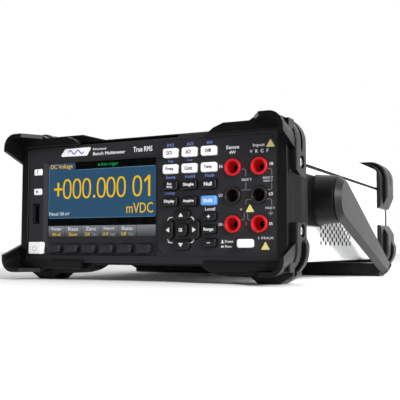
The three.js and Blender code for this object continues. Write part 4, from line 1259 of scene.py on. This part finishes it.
def make_rear_terminals():
    low, high = reach("rear_terminal_block")
    face, base = high.y, high.y - 4
    block = soften(prism("block", BLACK, around(low, high, 0, 2, 5), "y", low.y, base), 0.6, 3, 50)
    columns, rows, bore = REAR_JACK.values()
    spots = [(x, z) for x in columns for z in rows]
    carve(block, [(circle(x, z, bore, 40), "y", low.y + 9, base + 1) for x, z in spots])
    rim = [(4.1, base - 8), (6, base - 2), (6, face - 0.6), (5.4, face), (4.5, face), (4.1, face - 0.4)]
    # The floors of the bores are near-black: painted shade.
    floor = [(4.1, base - 7), (0, base - 7), (0, base - 7.4), (4.15, base - 7.4)]
    contact = [(2.1, base - 7), (2.1, face - 3), (1.6, face - 3), (1.6, base - 7)]
    parts = [smooth(block)]
    for x, z in spots:
        skin = BLACK if z == rows[1] else RED
        for stuff, profile, steps in ((skin, rim, 48), (HOLE_SHADE, floor, 32), (BRASS, contact, 28)):
            parts.append(smooth(lathe("turned", stuff, profile, "y", (x, 0, z), steps), 40))
    place(merged("rear_jack_set", parts), "rear_terminal_block")


def make_rear_ports():
    low, high = reach("rear_port_block")
    face, end = high.y - 6, high.y
    block = soften(prism("block", STEEL, around(low, high, 0, 0.8, 3), "y", low.y, face), 0.3, 2, 50)
    lan = rounded([
        (-37, -26), (-21, -26), (-21, -15), (-25, -15), (-25, -13), (-33, -13), (-33, -15), (-37, -15),
    ], 0.2, 2)
    usb = rounded([(-13, -25), (-1, -25), (-1, -16), (-3.5, -13.5), (-10.5, -13.5), (-13, -16)], 0.5, 3)
    carve(block, [(outline, "y", face - 14, face + 1) for outline in (lan, usb)])
    carve(block, [(circle(x, z, 3.2, 32), "y", face - 5, face + 1) for x, z in COAX_PLACES])
    # Near-black liners at the backs of the ports: painted shade.
    liners = [
        (rectangle(-36.8, -21.2, -25.8, -13.2), "y", face - 13.8, face - 9),
        (rectangle(-12.8, -1.2, -24.8, -13.7), "y", face - 13.8, face - 10),
    ]
    pins = [rectangle(-33.2 + i * 1.1, -32.8 + i * 1.1, -25.4, -24.6) for i in range(8)]
    tongue = prism("tongue", BLACK, rectangle(-10, -4, -21, -18), "y", face - 10, face - 1.5)
    parts = [
        smooth(block),
        prisms("liner", HOLE_SHADE, liners),
        prisms("wires", BRASS, [(outline, "y", face - 9, face - 2) for outline in pins]),
        soften(tongue, 0.3, 2),
    ]
    barrel = [(3.2, face - 4), (4.8, face - 1), (4.8, end - 0.5), (4.4, end), (3.5, end), (3.2, end - 0.3)]
    core = [(0, face - 4), (2.2, face - 4), (2.2, end - 1.6), (0.7, end - 1.6), (0.7, end - 3), (0, end - 3)]
    for x, z in COAX_PLACES:
        parts.append(smooth(lathe("barrel", BRIGHT, barrel, "y", (x, 0, z), 40), 40))
        nut = prism("nut", STEEL, circle(x, z, 6.4, 6), "y", face, face + 1.8)
        carve(nut, [(circle(x, z, 4.6, 32), "y", face - 1, face + 3)])
        parts.append(smooth(soften(nut, 0.25, 2, 40)))
        parts.append(smooth(lathe("core", BADGE, core, "y", (x, 0, z), 28), 40))
    place(merged("port_set", parts), "rear_port_block")


# ---------- stage ----------


FLOOR_REACH = 4.0
SKY = {"towards": (0.45, 0.75, 0.48), "dark": 0.07, "bright": 1.15}
KEY_LIGHT = {"spot": (1.45, -0.80, 0.70), "aim": (0, 0, 0.05), "size": 0.5, "power": 30}
CAMERA = {
    "spot": (0.26503, -0.57147, 0.0230), "yaw": 0.4716, "pitch": 0.07008, "roll": 0.00224, "lens": 63.42,
}


def make_floor():
    maker = bmesh.new()
    bmesh.ops.create_grid(maker, x_segments=8, y_segments=8, size=FLOOR_REACH)
    link("floor", maker, FLOOR)


def make_world():
    """Soft studio light: bright above and behind, dim in front.

    Where the camera looks past everything, it sees plain white."""
    world = bpy.data.worlds.new("studio")
    bpy.context.scene.world = world
    world.use_nodes = True
    tree = world.node_tree
    join = tree.links.new
    sky = tree.nodes["Background"]
    sky.inputs["Color"].default_value = (1, 1, 1, 1)
    facing = add(tree, "VectorMath", operation="DOT_PRODUCT")
    facing.inputs[1].default_value = SKY["towards"]
    join(add(tree, "TexCoord").outputs["Generated"], facing.inputs[0])
    depth = add(tree, "MapRange", interpolation_type="SMOOTHSTEP", From_Min=-0.7, From_Max=0.8,
                To_Min=SKY["dark"], To_Max=SKY["bright"])
    join(facing.outputs["Value"], depth.inputs["Value"])
    join(depth.outputs["Result"], sky.inputs["Strength"])
    plain = add(tree, "Background", Color=(1, 1, 1, 1))
    mix = add(tree, "MixShader")
    join(add(tree, "LightPath").outputs["Is Camera Ray"], mix.inputs["Fac"])
    join(sky.outputs["Background"], mix.inputs[1])
    join(plain.outputs["Background"], mix.inputs[2])
    join(mix.outputs["Shader"], tree.nodes["World Output"].inputs["Surface"])


def make_light():
    lamp = bpy.data.lights.new("key", "AREA")
    lamp.size = KEY_LIGHT["size"]
    lamp.energy = KEY_LIGHT["power"]
    light = show("key", lamp)
    light.location = KEY_LIGHT["spot"]
    way = Vector(KEY_LIGHT["aim"]) - Vector(KEY_LIGHT["spot"])
    light.rotation_euler = way.to_track_quat("-Z", "Y").to_euler()


def make_camera():
    lens = bpy.data.cameras.new("camera")
    lens.sensor_width = 36
    lens.lens = CAMERA["lens"]
    lens.clip_start = 0.01
    camera = show("camera", lens)
    level = math.pi / 2 + CAMERA["pitch"]
    turn = Matrix.Rotation(CAMERA["yaw"], 4, "Z") @ Matrix.Rotation(level, 4, "X")
    roll = Matrix.Rotation(CAMERA["roll"], 4, "Z")
    camera.matrix_world = Matrix.Translation(CAMERA["spot"]) @ turn @ roll
    bpy.context.scene.camera = camera


make_case()
make_bezel()
make_panel_print()
make_badge()
make_display()
make_usb()
make_jacks()
make_keys()
make_front_bumper()
make_screws()
make_rear_bumper()
make_handle()
make_rear_panel()
make_inlet()
make_rear_terminals()
make_rear_ports()
for node, material in (("front_board", BOARD), ("main_board", BOARD), ("transformer", CORE)):
    frame["nodes"][node].data.materials.clear()
    frame["nodes"][node].data.materials.append(material)

make_floor()
make_world()
make_light()
make_camera()
bpy.context.scene.view_settings.view_transform = "Standard"
